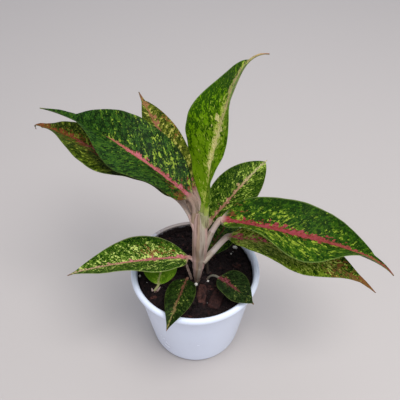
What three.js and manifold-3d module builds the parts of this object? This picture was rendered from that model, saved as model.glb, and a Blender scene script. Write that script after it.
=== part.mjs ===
// Potted Chinese evergreen: a plastic pot, its soil, one leafy stem and its leaves.
// Millimetres, +Z up. The origin is the centre of the pot's underside.
import * as THREE from 'three';
import { mergeVertices } from 'three/addons/utils/BufferGeometryUtils.js';
import Module from 'manifold-3d';

const wasm = await Module();
wasm.setup();

// Driving dimensions of the pot
const POT_HEIGHT = 105;
const RIM_RADIUS = 65;
const LIP_RADIUS = 59;
const RIM_BAND = 8;
const ROLL = { height: 4, steps: 6, undercut: 1 };
const NECK = { radius: 60, height: 95 };
const BELLY = { radius: 55, height: 56 };
const HEEL = { radius: 48, height: 7.5 };
const FOOT_RADIUS = 44;
const WALL = 2;
const FLOOR_TOP = 4.5;
const INSIDE_HEEL = 6;
const GROOVE = { inner: 29, outer: 38, depth: 2 };
const DRAIN = { count: 6, radius: 3.5, ring: 33.5 };
const POT_SIDES = 48;

// Driving dimensions of the soil and of what lies in it
const SOIL_LEVEL = 96;
const SOIL_RELIEF = 1.3;
const SOIL_SLOPE = 0.03;
const SOIL_SIDES = 36;
const FACET_ALLOWANCE = 0.15;
const CLODS = { count: 18, size: 3.4, seed: 7 };
const GAP = 0.3;
const BURIED = 14;
const HOLE_MARGIN = 1.6;
const CHIPS = [
  { name: 'bark_chip_1', at: [6.5, -28, 96], size: [9, 22, 5], turn: -6, lean: 7 },
  { name: 'bark_chip_2', at: [21, -33, 95.5], size: [13, 24, 5], turn: -24, lean: -4 },
];

// The stem: centre line from its buried end to its top, with its radius at each point
const STEM = [
  { at: [0, -11, 50], radius: 3.5 },
  { at: [0.6, -11, 80], radius: 3.4 },
  { at: [1.6, -11, 95], radius: 2.9 },
  { at: [2.2, -9.8, 107], radius: 4.1 },
  { at: [3.2, -7.8, 121], radius: 5.8 },
  { at: [4.3, -5.4, 138], radius: 6.9 },
  { at: [4.6, -2.4, 154], radius: 6.9 },
  { at: [4.6, 1.6, 168], radius: 6.4 },
  { at: [4.8, 4.4, 178], radius: 4.5 },
];
const STEM_SIDES = 12;
const STALK_SIDES = 10;
const STALK_HANDLE = 0.35;
const COLLAR_SWELL = 1.2;

// Leaves. Lengths in mm, angles in degrees.
// foot, base: where the stalk starts, and where it turns into the blade.
// heading, swing: compass direction of the midrib at the base, and how far it turns by the tip.
// rise, droop: its slope at the base, and how far it falls by the tip.
// roll, twist: tilt of the blade about the midrib, at the base and added by the tip.
// fold, curl: how far each half is folded up at the midrib, and bends on towards its margin.
// widest, full, fuller, skew, lean: outline, the last three as differences between left and right.
// tail: the drawn-out tip, as a share of the length and in mm.
// hook: how far the tip turns and drops, and from which share of the length.
// left, right: the wave of each margin, as [degrees, start of the wave in turns].
// stalk: its half width and half thickness. collar: share of it that belongs to the stem.
// steep, bend: how upright it leaves its foot, and how far before the base it turns into the midrib.
const LEAVES = [
  { name: 'leaf_1', length: 176, width: 67, foot: [0, 3, 164], base: [-4, 9.7, 192],
    heading: 152, swing: -4.6, rise: 28.5, droop: 37, roll: -5, twist: 12, fold: 28, curl: -12,
    widest: 0.4, full: 0.74, skew: 0.02, lean: -0.05, tail: [0.23, 6.5], left: [15, 0.04], right: [6, 0.35],
    stalk: [4, 2.8], collar: 0.45, fuller: 0.03, hook: [9, -4], color: 0x2c5a2b },
  { name: 'leaf_2', length: 177, width: 53.5, foot: [1.6, 0, 160], base: [-20, 24, 182],
    heading: 164, swing: -26, rise: 27.7, droop: 49, roll: 5.4, twist: -3.4, fold: 28, curl: -11,
    widest: 0.41, full: 0.71, skew: 0, lean: 0.01, tail: [0.13, 4], left: [16, 0.08], right: [3, 0.88],
    stalk: [4.5, 2.5], collar: 0.36, steep: 1.5, fuller: -0.035, hook: [0, 120, 0.94], color: 0x4c5f2c },
  { name: 'leaf_3', length: 127, width: 39, foot: [5, 4, 162], base: [0, 28, 182],
    heading: 129, swing: -18, rise: 31, droop: 24, roll: 7, twist: 0, fold: 16, curl: -22,
    widest: 0.42, full: 0.7, skew: 0.02, lean: -0.04, tail: [0.12, 2], left: [2, 0.3], right: [2, 0.35],
    stalk: [3, 2.2], collar: 0.4, color: 0x5d6a2c },
  { name: 'leaf_4', length: 161, width: 57.5, foot: [8, 1, 166], base: [9, 1, 188],
    heading: 30, swing: -40, rise: 85, droop: 19, roll: 7.5, twist: -0.7, fold: 18.7, curl: -5.5,
    widest: 0.51, full: 0.92, skew: 0.19, lean: 0.006, tail: [0.1, 1.2], left: [11.4, 0.5], right: [11.8, -0.13],
    stalk: [4.6, 3.6], collar: 0.66, fuller: 0.08, hook: [-5, 69], color: 0x5f9a2a },
  { name: 'leaf_5', length: 82, width: 47, foot: [5, 3, 143], base: [15.4, 17.9, 152.8],
    heading: 39, swing: 3, rise: 34, droop: 17, roll: 2.5, twist: 3, fold: 18, curl: -15,
    widest: 0.43, full: 0.62, skew: 0, lean: 0, tail: [0.04, 1], left: [2, 0.28], right: [1, 0.68],
    stalk: [2.6, 2], collar: 0.4, color: 0x3d6b2b },
  { name: 'leaf_6', length: 171, width: 65, foot: [7.2, -5, 135], base: [24.5, 4.4, 167.7],
    heading: -17, swing: 9.2, rise: 4.7, droop: 38, roll: -0.7, twist: -2.8, fold: 28.2, curl: -8.8,
    widest: 0.415, full: 0.577, skew: 0, lean: -0.044, tail: [0.157, 5.2], left: [5.8, 0.45], right: [-18.3, 0.534],
    stalk: [3.6, 3], collar: 0.5, bend: 0.12, steep: 0.4, fuller: -0.1, hook: [-14.8, 12.3], color: 0x2f6425 },
  { name: 'leaf_7', length: 151.5, width: 56.5, foot: [7, -9, 125], base: [32, 4.6, 144.8],
    heading: -17, swing: -2.4, rise: 8.6, droop: 47.5, roll: -3.7, twist: 8.2, fold: 20.3, curl: -12.8,
    widest: 0.403, full: 0.8, skew: 0, lean: -0.025, tail: [0.14, 4], left: [0, 0], right: [8.5, -0.084],
    stalk: [3.2, 3], collar: 0.3, bend: 0.12, steep: -0.3, color: 0x47642b },
  { name: 'leaf_8', length: 118, width: 52.5, foot: [0.8, -8, 122], base: [-6.6, -6.8, 127.6],
    heading: 184.5, swing: 7.5, rise: 1.5, droop: 11, roll: 4, twist: 4.7, fold: 26, curl: -10,
    widest: 0.37, full: 0.68, skew: 0, lean: -0.03, tail: [0.06, 1.5], left: [5, 0.48], right: [-3, 0.03],
    stalk: [2.2, 1.6], collar: 0.7, bend: 0.3, steep: 0.2, fuller: -0.14, hook: [-17, 25], color: 0x6f8f3a },
  { name: 'leaf_9', length: 59, width: 28, foot: [-8.5, -12.5, 96], base: [-8, -19, 109],
    heading: 256, swing: -8, rise: 14, droop: 46, roll: -1, twist: -1, fold: 19, curl: -19,
    widest: 0.38, full: 0.71, skew: 0.02, lean: 0.01, tail: [0.05, 1], left: [3, 0.85], right: [-2, 0.64],
    stalk: [1.3, 1.1], collar: 0, bend: 0.35, small: true, color: 0x2a4f26 },
  { name: 'leaf_10', length: 45, width: 33, foot: [12, -10, 97], base: [23, -16, 108],
    heading: -43, swing: -3, rise: 7, droop: 17, roll: 0, twist: 2, fold: 23, curl: -11,
    widest: 0.43, full: 0.69, skew: 0.02, lean: -0.05, tail: [0.05, 1], left: [-3, 0.7], right: [5, 0.61],
    stalk: [1.3, 1.1], collar: 0, bend: 0.5, steep: 2, small: true, color: 0x28512b },
  { name: 'leaf_11', length: 42, width: 34, foot: [-41, -25, 96], base: [-36, -20, 102],
    heading: 86, swing: 0, rise: 15, droop: 20, roll: 0, twist: 0, fold: 16, curl: -14,
    widest: 0.42, full: 0.6, skew: 0, lean: 0, tail: [0.05, 1], left: [2, 0.2], right: [2, 0.5],
    stalk: [1.2, 1], collar: 0, bend: 0.3, small: true, color: 0x6c9f35 },
  { name: 'leaf_12', length: 66, width: 36, foot: [12.5, -2, 96], base: [13, 6, 117],
    heading: 60, swing: 0, rise: 15, droop: 22, roll: 0, twist: 0, fold: 18, curl: -14,
    widest: 0.4, full: 0.66, skew: 0, lean: 0, tail: [0.05, 1], left: [2, 0.2], right: [3, 0.5],
    stalk: [1.8, 1.5], collar: 0, bend: 0.3, small: true, color: 0x234a24 },
];
const BLADE_HALF_THICKNESS = 0.35;
const RIB = { height: 1.3, halfWidth: 2.4, leafWidth: 68 };
const TIP_HALF_WIDTH = 0.5;
const WAVES = 1.6;
const DROOP_POWER = 1.4;
const HOOK_FROM = 0.8;
const BLEND = 0.14;
const COLUMNS = [-1, -0.66, -0.33, -0.1, 0, 0.1, 0.33, 0.66, 1];
const ROWS = { stalk: 5, blade: 15, smallStalk: 4, smallBlade: 10 };

const up = new THREE.Vector3(0, 0, 1);
const radians = THREE.MathUtils.degToRad;
const vector = (list) => new THREE.Vector3(...list);

// A closed solid from point rows and the triangles between them
function geometryOf(points, triangles) {
  const geometry = new THREE.BufferGeometry();
  const positions = new Float32Array(points.flatMap((p) => [p.x, p.y, p.z]));
  geometry.setAttribute('position', new THREE.BufferAttribute(positions, 3));
  geometry.setIndex(triangles);
  geometry.computeVertexNormals();
  return geometry;
}

function solidOf(geometry) {
  const bare = geometry.clone();
  bare.deleteAttribute('normal');
  bare.deleteAttribute('uv');
  const merged = mergeVertices(bare, 1e-4);
  const triangles = [];
  for (let i = 0; i < merged.index.count; i += 3) {
    const [a, b, c] = [0, 1, 2].map((k) => merged.index.getX(i + k));
    if (a !== b && b !== c && c !== a) triangles.push(a, b, c);
  }
  const mesh = new wasm.Mesh({
    numProp: 3,
    vertProperties: new Float32Array(merged.attributes.position.array),
    triVerts: new Uint32Array(triangles),
  });
  return new wasm.Manifold(mesh);
}

function geometryFrom(solid) {
  const mesh = solid.getMesh();
  const geometry = new THREE.BufferGeometry();
  geometry.setAttribute('position', new THREE.BufferAttribute(mesh.vertProperties, 3));
  geometry.setIndex(new THREE.BufferAttribute(mesh.triVerts, 1));
  geometry.computeVertexNormals();
  return geometry;
}

function meshOf(name, geometry, color, roughness) {
  const material = new THREE.MeshStandardMaterial({ color, roughness, metalness: 0 });
  const mesh = new THREE.Mesh(geometry, material);
  mesh.name = name;
  return mesh;
}

// Joins closed rings of points, given from the start of the path to its end and turning left about it
function loft(rings) {
  const sides = rings[0].length;
  const triangles = [];
  for (let i = 0; i + 1 < rings.length; i += 1) {
    for (let j = 0; j < sides; j += 1) {
      const next = (j + 1) % sides;
      const [a, b] = [i * sides + j, i * sides + next];
      triangles.push(a, b, b + sides, a, b + sides, a + sides);
    }
  }
  const last = (rings.length - 1) * sides;
  for (let j = 1; j + 1 < sides; j += 1) {
    triangles.push(0, j + 1, j);
    triangles.push(last, last + j, last + j + 1);
  }
  return geometryOf(rings.flat(), triangles);
}

// An oval ring about a point, with its half width along side and its half thickness along rise
function ovalRing(centre, side, rise, halfWidth, halfThickness, sides) {
  return Array.from({ length: sides }, (_, j) => {
    const angle = (2 * Math.PI * j) / sides;
    return centre.clone()
      .addScaledVector(side, halfWidth * Math.cos(angle))
      .addScaledVector(rise, halfThickness * Math.sin(angle));
  });
}

// Direction of a leaf's midrib at t, from 0 at the base to 1 at the tip
function midribDirection(leaf, t) {
  const [turn, drop, from = HOOK_FROM] = leaf.hook ?? [0, 0];
  const late = Math.max(0, (t - from) / (1 - from)) ** 2;
  const azimuth = radians(leaf.heading + leaf.swing * t + turn * late);
  const slope = radians(leaf.rise - leaf.droop * t ** DROOP_POWER - drop * late);
  return new THREE.Vector3(
    Math.cos(slope) * Math.cos(azimuth),
    Math.cos(slope) * Math.sin(azimuth),
    Math.sin(slope),
  );
}

// The stalk is a cubic curve that leaves its foot upward and runs into the midrib
function stalkCurve(leaf) {
  const foot = vector(leaf.foot);
  const base = vector(leaf.base);
  const reach = foot.distanceTo(base);
  const start = base.clone().sub(foot).normalize().addScaledVector(up, leaf.steep ?? 1).normalize();
  return new THREE.CubicBezierCurve3(
    foot,
    foot.clone().addScaledVector(start, STALK_HANDLE * reach),
    base.clone().addScaledVector(midribDirection(leaf, 0), -(leaf.bend ?? STALK_HANDLE) * reach),
    base,
  );
}

// Cross frames along the stalk, each with its side direction kept level across the leaf's heading
function framesAlongStalk(leaf, from, to, rows) {
  const curve = stalkCurve(leaf);
  const azimuth = radians(leaf.heading);
  const level = new THREE.Vector3(-Math.sin(azimuth), Math.cos(azimuth), 0);
  return Array.from({ length: rows }, (_, i) => {
    const u = from + ((to - from) * i) / (rows - 1);
    const direction = curve.getTangent(u);
    const side = level.clone().addScaledVector(direction, -level.dot(direction)).normalize();
    return { centre: curve.getPoint(u), direction, side, t: 0, roll: radians(leaf.roll) * u };
  });
}

// The direction of a frame that points out of the leaf's upper face
function riseOf(frame) {
  return new THREE.Vector3().crossVectors(frame.direction, frame.side);
}

// The upright end of a stalk, straight below its foot
function buriedFrame(foot, depth) {
  const centre = foot.centre.clone().addScaledVector(up, -depth);
  return { ...foot, centre, direction: up, side: levelled(foot.side) };
}

function levelled(side) {
  return side.clone().setZ(0).normalize();
}

// Cross frames along the midrib, found by adding up short steps in the midrib's direction
function framesAlongBlade(leaf, rows) {
  const steps = 8;
  const step = 1 / (rows * steps);
  const centre = vector(leaf.base);
  const frames = [];
  for (let i = 1; i <= rows * steps; i += 1) {
    centre.addScaledVector(midribDirection(leaf, (i - 0.5) * step), leaf.length * step);
    if (i % steps === 0) {
      const t = i * step;
      const direction = midribDirection(leaf, t);
      frames.push({
        centre: centre.clone(),
        direction,
        side: new THREE.Vector3(-direction.y, direction.x, 0).normalize(),
        t,
        roll: radians(leaf.roll + leaf.twist * t),
      });
    }
  }
  return frames;
}

// Half width of the blade at t on one side: a rising and a falling power that meet at the widest
// place, and a slim tail that goes on to the tip
function halfWidth(leaf, t, sign) {
  const widest = leaf.widest + leaf.lean * sign;
  const full = leaf.full + (leaf.fuller ?? 0) * sign;
  const fall = (full * (1 - widest)) / widest;
  const [share, tailWidth] = leaf.tail;
  const end = 1 - share;
  const along = THREE.MathUtils.clamp(t / end, 1e-6, 1 - 1e-6);
  const swell = (along / widest) ** full * ((1 - along) / (1 - widest)) ** fall;
  const body = (leaf.width / 2) * swell;
  const tail = tailWidth * (t < end ? (t / end) ** 2 : (1 - t) / share);
  return (body + tail) * (1 + leaf.skew * sign);
}

// One leaf as a thin closed solid: the stalk's oval section flattens into the folded, waved blade.
// Upper and lower face have the same columns and rows, and their cells are cut along the same diagonal.
function leafGeometry(leaf) {
  const rows = leaf.small ? [ROWS.smallStalk, ROWS.smallBlade] : [ROWS.stalk, ROWS.blade];
  const curve = stalkCurve(leaf);
  const speed = curve.getPoint(leaf.collar + 0.01).distanceTo(curve.getPoint(leaf.collar)) / 0.01;
  const from = leaf.collar > 0 ? leaf.collar + GAP / speed : 0;
  const frames = [...framesAlongStalk(leaf, from, 1, rows[0]), ...framesAlongBlade(leaf, rows[1])];
  if (leaf.collar === 0) frames.unshift(buriedFrame(frames[0], BURIED));
  const [stalkWidth, stalkHeight] = leaf.stalk;
  const middles = frames.map((frame) => {
    const rise = riseOf(frame);
    const [c, s] = [Math.cos(frame.roll), Math.sin(frame.roll)];
    const across = frame.side.clone().multiplyScalar(c).addScaledVector(rise, s);
    const above = frame.side.clone().multiplyScalar(-s).addScaledVector(rise, c);
    const stalkShare = Math.max(0, 1 - frame.t / BLEND) ** 2;
    const row = COLUMNS.map((column) => {
      const sign = Math.sign(column);
      const [amount, start] = sign < 0 ? leaf.right : leaf.left;
      const blade = frame.t > 0 ? halfWidth(leaf, frame.t, sign) : 0;
      const reach = Math.max(Math.hypot(blade, stalkWidth * stalkShare), TIP_HALF_WIDTH);
      const x = Math.abs(column) * reach;
      const ends = Math.sin(Math.PI * frame.t) ** 0.5;
      const wave = amount * Math.sin(2 * Math.PI * (WAVES * frame.t + start)) * ends;
      const fold = radians(leaf.fold + wave) * (1 - stalkShare);
      const bend = (radians(leaf.curl) / (leaf.width / 2)) * (1 - stalkShare) || -1e-6;
      const out = (Math.sin(fold + bend * x) - Math.sin(fold)) / bend;
      const lift = (Math.cos(fold) - Math.cos(fold + bend * x)) / bend;
      return frame.centre.clone().addScaledVector(across, sign * out).addScaledVector(above, lift);
    });
    const rib = RIB.height * (1 - 0.7 * frame.t) * (leaf.width / RIB.leafWidth);
    const thick = COLUMNS.map((column, j) => {
      const x = row[j].distanceTo(frame.centre);
      const oval = (stalkHeight - BLADE_HALF_THICKNESS) * stalkShare * Math.sqrt(1 - column ** 2);
      const ridge = rib * (1 - stalkShare) * Math.exp(-((x / RIB.halfWidth) ** 2));
      return { above: BLADE_HALF_THICKNESS + oval, below: BLADE_HALF_THICKNESS + oval + ridge };
    });
    return { row, thick };
  });
  const last = COLUMNS.length - 1;
  const normalAt = (i, j) => {
    const [back, ahead] = [Math.max(i - 1, 0), Math.min(i + 1, middles.length - 1)];
    const [right, left] = [Math.max(j - 1, 0), Math.min(j + 1, last)];
    const along = middles[ahead].row[j].clone().sub(middles[back].row[j]);
    const across = middles[i].row[left].clone().sub(middles[i].row[right]);
    return along.cross(across).normalize();
  };
  const offset = (i, j, distance) => middles[i].row[j].clone().addScaledVector(normalAt(i, j), distance);
  const top = middles.flatMap(({ row, thick }, i) => row.map((_, j) => offset(i, j, thick[j].above)));
  const bottom = middles.flatMap(({ row, thick }, i) => row.map((_, j) => offset(i, j, -thick[j].below)));
  const half = top.length;
  const wide = COLUMNS.length;
  const triangles = [];
  for (let i = 0; i + 1 < middles.length; i += 1) {
    for (let j = 0; j < last; j += 1) {
      const a = i * wide + j;
      const [b, c, d] = [a + wide, a + wide + 1, a + 1];
      triangles.push(a, b, c, a, c, d);
      triangles.push(half + a, half + c, half + b, half + a, half + d, half + c);
    }
    for (const [a, b] of [[i * wide, (i + 1) * wide], [(i + 1) * wide + last, i * wide + last]]) {
      triangles.push(a, half + b, b, a, half + a, half + b);
    }
  }
  for (let j = 0; j < last; j += 1) {
    const tip = (middles.length - 1) * wide + j;
    triangles.push(j, j + 1, half + j + 1, j, half + j + 1, half + j);
    triangles.push(tip, half + tip + 1, tip + 1, tip, half + tip, half + tip + 1);
  }
  return geometryOf([...top, ...bottom], triangles);
}

// The pot: one turned shell with a rolled rim, a groove under its foot and drain holes in the groove.
// The top of the roll is half an ellipse from the rim's radius over to the lip's.
function potGeometry() {
  const rollCentre = (RIM_RADIUS + LIP_RADIUS) / 2;
  const roll = Array.from({ length: ROLL.steps + 1 }, (_, i) => {
    const angle = (Math.PI * i) / ROLL.steps;
    const radius = rollCentre + (RIM_RADIUS - rollCentre) * Math.cos(angle);
    return [radius, POT_HEIGHT - ROLL.height * (1 - Math.sin(angle))];
  });
  const profile = [
    [0, 0], [GROOVE.inner, 0], [GROOVE.inner + 0.5, GROOVE.depth], [GROOVE.outer - 0.5, GROOVE.depth],
    [GROOVE.outer, 0], [FOOT_RADIUS, 0], [HEEL.radius - 1.2, 3], [HEEL.radius, HEEL.height],
    [BELLY.radius, BELLY.height], [NECK.radius, NECK.height],
    [RIM_RADIUS - ROLL.undercut, POT_HEIGHT - RIM_BAND], ...roll, [NECK.radius - WALL, NECK.height],
    [BELLY.radius - WALL, BELLY.height], [HEEL.radius - WALL, INSIDE_HEEL],
    [HEEL.radius - WALL - 2, FLOOR_TOP], [0, FLOOR_TOP],
  ];
  const shell = new THREE.LatheGeometry(profile.map(([r, z]) => new THREE.Vector2(r, z)), POT_SIDES);
  shell.rotateX(Math.PI / 2);
  let solid = solidOf(shell);
  for (let k = 0; k < DRAIN.count; k += 1) {
    const angle = (2 * Math.PI * (k + 0.5)) / DRAIN.count;
    const drill = new THREE.CylinderGeometry(DRAIN.radius, DRAIN.radius, 3 * FLOOR_TOP, 12);
    drill.rotateX(Math.PI / 2);
    drill.translate(DRAIN.ring * Math.cos(angle), DRAIN.ring * Math.sin(angle), 0);
    solid = solid.subtract(solidOf(drill));
  }
  return geometryFrom(solid);
}

// The stem's cane, grown outward by margin, with a collar on it for each leaf stalk that it carries
function stemSolid(margin) {
  const centres = new THREE.CatmullRomCurve3(STEM.map((stop) => vector(stop.at)));
  const rows = 2 * (STEM.length - 1) + 1;
  const side = new THREE.Vector3(1, 0, 0);
  const rings = Array.from({ length: rows }, (_, i) => {
    const u = i / (rows - 1);
    const place = u * (STEM.length - 1);
    const low = Math.min(Math.floor(place), STEM.length - 2);
    const radius = THREE.MathUtils.lerp(STEM[low].radius, STEM[low + 1].radius, place - low) + margin;
    const direction = centres.getTangent(u);
    const across = side.clone().addScaledVector(direction, -side.dot(direction)).normalize();
    const ahead = new THREE.Vector3().crossVectors(direction, across);
    return ovalRing(centres.getPoint(u), across, ahead, radius, radius, STEM_SIDES);
  });
  if (margin > 0) rings.unshift(rings[0].map((point) => point.clone().addScaledVector(up, -margin)));
  let solid = solidOf(loft(rings));
  for (const leaf of LEAVES.filter((each) => each.collar > 0)) {
    const frames = framesAlongStalk(leaf, 0, leaf.collar, 3);
    const collar = frames.map((frame, i) => {
      const swell = COLLAR_SWELL * (1 - i / (frames.length - 1)) + margin;
      const [width, height] = leaf.stalk.map((value) => value + swell);
      return ovalRing(frame.centre, frame.side, riseOf(frame), width, height, STALK_SIDES);
    });
    solid = solid.add(solidOf(loft(collar)));
  }
  return solid;
}

// A flat sliver of bark with an uneven outline, grown outward by margin
function chipGeometry(chip, margin) {
  const [width, length, thickness] = chip.size.map((value) => value + 2 * margin);
  const outline = [
    [-0.5, -0.42], [-0.3, -0.5], [0.34, -0.47], [0.5, -0.2],
    [0.45, 0.3], [0.22, 0.5], [-0.35, 0.44], [-0.47, 0.1],
  ];
  const shape = new THREE.Shape(outline.map(([x, y]) => new THREE.Vector2(x * width, y * length)));
  const geometry = new THREE.ExtrudeGeometry(shape, { depth: thickness, bevelEnabled: false });
  geometry.translate(0, 0, -thickness / 2);
  geometry.rotateX(radians(chip.lean));
  geometry.rotateZ(radians(chip.turn));
  geometry.translate(...chip.at);
  return geometry;
}

// A repeatable random number between 0 and 1
function randomFrom(seed) {
  let state = seed;
  return () => {
    state = (state * 16807) % 2147483647;
    return state / 2147483647;
  };
}

function soilHeight(x, y) {
  const broad = Math.sin(x / 9 + 1) * Math.cos(y / 8 + 0.5);
  const fine = 0.6 * Math.sin(x / 4.3 + y / 5.1 + 2);
  const calm = 1 - (Math.hypot(x, y) / LIP_RADIUS) ** 4;
  return SOIL_LEVEL - SOIL_SLOPE * x + SOIL_RELIEF * (broad + fine) * calm;
}

// The soil fills the pot to just under its rim. Its uneven top falls slightly towards +X and has small
// clods fused to it.
function soilGeometry() {
  const inset = WALL + GAP + FACET_ALLOWANCE;
  const edge = NECK.radius - inset;
  const topRings = [edge, 54, 48, 41, 32, 22, 11];
  const ringAt = (radius, height) => Array.from({ length: SOIL_SIDES }, (_, j) => {
    const angle = (2 * Math.PI * j) / SOIL_SIDES;
    const [x, y] = [radius * Math.cos(angle), radius * Math.sin(angle)];
    return new THREE.Vector3(x, y, height ?? soilHeight(x, y));
  });
  const rings = [
    ringAt(HEEL.radius - inset - 2.2, FLOOR_TOP + GAP),
    ringAt(HEEL.radius - inset, INSIDE_HEEL + 1),
    ringAt(BELLY.radius - inset, BELLY.height),
    ...topRings.map((radius) => ringAt(radius)),
  ];
  let solid = solidOf(loft(rings));
  const random = randomFrom(CLODS.seed);
  for (let k = 0; k < CLODS.count; k += 1) {
    const angle = 2 * Math.PI * random();
    const radius = 51 * Math.sqrt(random());
    const size = CLODS.size * (0.6 + 0.6 * random());
    const [x, y] = [radius * Math.cos(angle), radius * Math.sin(angle)];
    const clod = new THREE.IcosahedronGeometry(size, 0);
    clod.scale(1, 0.8 + 0.4 * random(), 0.55);
    clod.rotateZ(2 * Math.PI * random());
    clod.translate(x, y, soilHeight(x, y) - 0.2);
    solid = solid.add(solidOf(clod));
  }
  solid = solid.subtract(stemSolid(GAP));
  for (const leaf of LEAVES.filter((each) => each.collar === 0)) {
    const [holeWidth, holeDepth] = leaf.stalk.map((value) => value + HOLE_MARGIN);
    const frames = framesAlongStalk(leaf, 0, 0.5, 3);
    const hole = [buriedFrame(frames[0], BURIED + GAP), ...frames].map((frame) => (
      ovalRing(frame.centre, frame.side, riseOf(frame), holeWidth, holeDepth, STALK_SIDES)
    ));
    solid = solid.subtract(solidOf(loft(hole)));
  }
  for (const chip of CHIPS) solid = solid.subtract(solidOf(chipGeometry(chip, GAP)));
  return geometryFrom(solid);
}

const group = new THREE.Group();
group.add(meshOf('pot', potGeometry(), 0xdfe3ee, 0.35));
group.add(meshOf('soil', soilGeometry(), 0x1d1418, 0.95));
group.add(meshOf('stem', geometryFrom(stemSolid(0)), 0xd9bfae, 0.5));
for (const leaf of LEAVES) group.add(meshOf(leaf.name, leafGeometry(leaf), leaf.color, 0.35));
for (const chip of CHIPS) group.add(meshOf(chip.name, chipGeometry(chip, 0), 0x5a2f26, 0.9));

export default group;
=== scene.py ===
import bmesh
import bpy
import numpy as np
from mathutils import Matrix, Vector


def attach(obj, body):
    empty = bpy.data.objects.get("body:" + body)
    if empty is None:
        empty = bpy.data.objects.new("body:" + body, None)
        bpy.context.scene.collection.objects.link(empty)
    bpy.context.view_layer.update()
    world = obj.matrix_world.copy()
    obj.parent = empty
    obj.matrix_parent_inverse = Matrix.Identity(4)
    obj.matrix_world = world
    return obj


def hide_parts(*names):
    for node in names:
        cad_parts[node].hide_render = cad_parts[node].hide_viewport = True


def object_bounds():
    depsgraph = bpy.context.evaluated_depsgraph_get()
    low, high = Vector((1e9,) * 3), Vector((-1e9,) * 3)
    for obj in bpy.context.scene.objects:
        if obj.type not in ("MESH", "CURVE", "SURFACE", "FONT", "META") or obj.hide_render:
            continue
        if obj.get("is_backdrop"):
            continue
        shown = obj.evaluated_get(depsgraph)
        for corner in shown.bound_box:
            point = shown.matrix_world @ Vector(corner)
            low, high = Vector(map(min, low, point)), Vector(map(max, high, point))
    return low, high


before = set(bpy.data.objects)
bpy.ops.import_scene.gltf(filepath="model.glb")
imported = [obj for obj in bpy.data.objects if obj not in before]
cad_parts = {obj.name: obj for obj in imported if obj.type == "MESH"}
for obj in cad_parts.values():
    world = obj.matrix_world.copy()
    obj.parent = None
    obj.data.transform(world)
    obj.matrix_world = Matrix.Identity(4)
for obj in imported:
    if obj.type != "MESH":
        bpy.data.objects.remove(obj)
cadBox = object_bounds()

mm = 0.001
up = np.array([0.0, 0.0, 1.0])


def unit(vectors):
    # each vector divided by its own length
    return vectors / np.linalg.norm(vectors, axis=-1, keepdims=True)


def together(*values):
    # numbers or arrays of matching shapes made into one array of vectors
    return np.stack(np.broadcast_arrays(*values), -1)


def anglesRound(count):
    # equal steps round a circle, in radians
    return np.linspace(0, 2 * np.pi, count, endpoint=False)


def smoothStep(low, high, value):
    # 0 below low, 1 above high, and 3s^2 - 2s^3 between them
    s = np.clip((value - low) / (high - low), 0, 1)
    return s * s * (3 - 2 * s)


def softNoise(points, size, seed, cells=32):
    # random numbers on a cubic grid of the given size, blended smoothly between grid points; -1 to 1
    table = np.random.default_rng(seed).uniform(-1, 1, (cells, cells, cells))
    place = np.asarray(points) / size
    low = np.floor(place).astype(int)
    s = place - low
    s = s * s * (3 - 2 * s)
    total = np.zeros(place.shape[:-1])
    for corner in np.ndindex(2, 2, 2):
        weight = np.prod(np.where(np.array(corner) == 1, s, 1 - s), -1)
        at = (low + corner) % cells
        total += weight * table[at[..., 0], at[..., 1], at[..., 2]]
    return total


def curveThrough(stops, u):
    # Catmull-Rom curve: at each stop it runs parallel to the line between the stops beside it
    stops = np.asarray(stops, float)
    padded = np.concatenate([2 * stops[:1] - stops[1:2], stops, 2 * stops[-1:] - stops[-2:-1]])
    place = np.clip(u, 0, 1) * (len(stops) - 1)
    low = np.minimum(place.astype(int), len(stops) - 2)
    s = (place - low)[:, None]
    a, b, c, d = (padded[low + k] for k in range(4))
    square, cube = (2 * a - 5 * b + 4 * c - d) * s**2, (3 * b - a - 3 * c + d) * s**3
    return 0.5 * (2 * b + (c - a) * s + square + cube)


def turnAndLean(turn, lean):
    # rotation matrices: a turn about the upright axis after a lean about the x axis
    c, s, cl, sl = np.cos(turn), np.sin(turn), np.cos(lean), np.sin(lean)
    rows = [[c, -s * cl, s * sl], [s, c * cl, -c * sl], [0 * c, sl, cl]]
    return np.moveaxis(np.array(rows), (0, 1), (-2, -1))


def gridFaces(rows, columns, around=False):
    # four-cornered faces between neighbouring rows and columns of a grid of points
    wide = columns if around else columns - 1
    i, j = np.meshgrid(np.arange(rows - 1), np.arange(wide), indexing="ij")
    k = (j + 1) % columns
    corners = [i * columns + j, i * columns + k, (i + 1) * columns + k, (i + 1) * columns + j]
    return np.stack(corners, -1).reshape(-1, 4)


def closedSheet(top, under):
    # the upper face, the lower face turned over, and one strip of faces round all four edges
    rows, columns = top.shape[:2]
    half = rows * columns
    upper = gridFaces(rows, columns)[:, ::-1]
    number = np.arange(half).reshape(rows, columns)
    edge = np.concatenate([number[0, :-1], number[:-1, -1], number[-1, :0:-1], number[:0:-1, 0]])
    ahead = np.roll(edge, -1)
    rim = np.stack([edge, ahead, ahead + half, edge + half], -1)
    points = np.concatenate([top.reshape(-1, 3), under.reshape(-1, 3)])
    return points, np.concatenate([upper, upper[:, ::-1] + half, rim])


def closedTube(points):
    # rings joined side by side, with a point in the middle of each end
    rows, around = points.shape[:2]
    ends = np.stack([points[0].mean(0), points[-1].mean(0)])
    number = np.arange(around)
    ahead = np.roll(number, -1)
    last, middle = (rows - 1) * around, rows * around
    faces = gridFaces(rows, around, True).tolist()
    faces += together(ahead, number, middle).tolist()
    faces += together(number + last, ahead + last, middle + 1).tolist()
    return np.concatenate([points.reshape(-1, 3), ends]), faces


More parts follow.
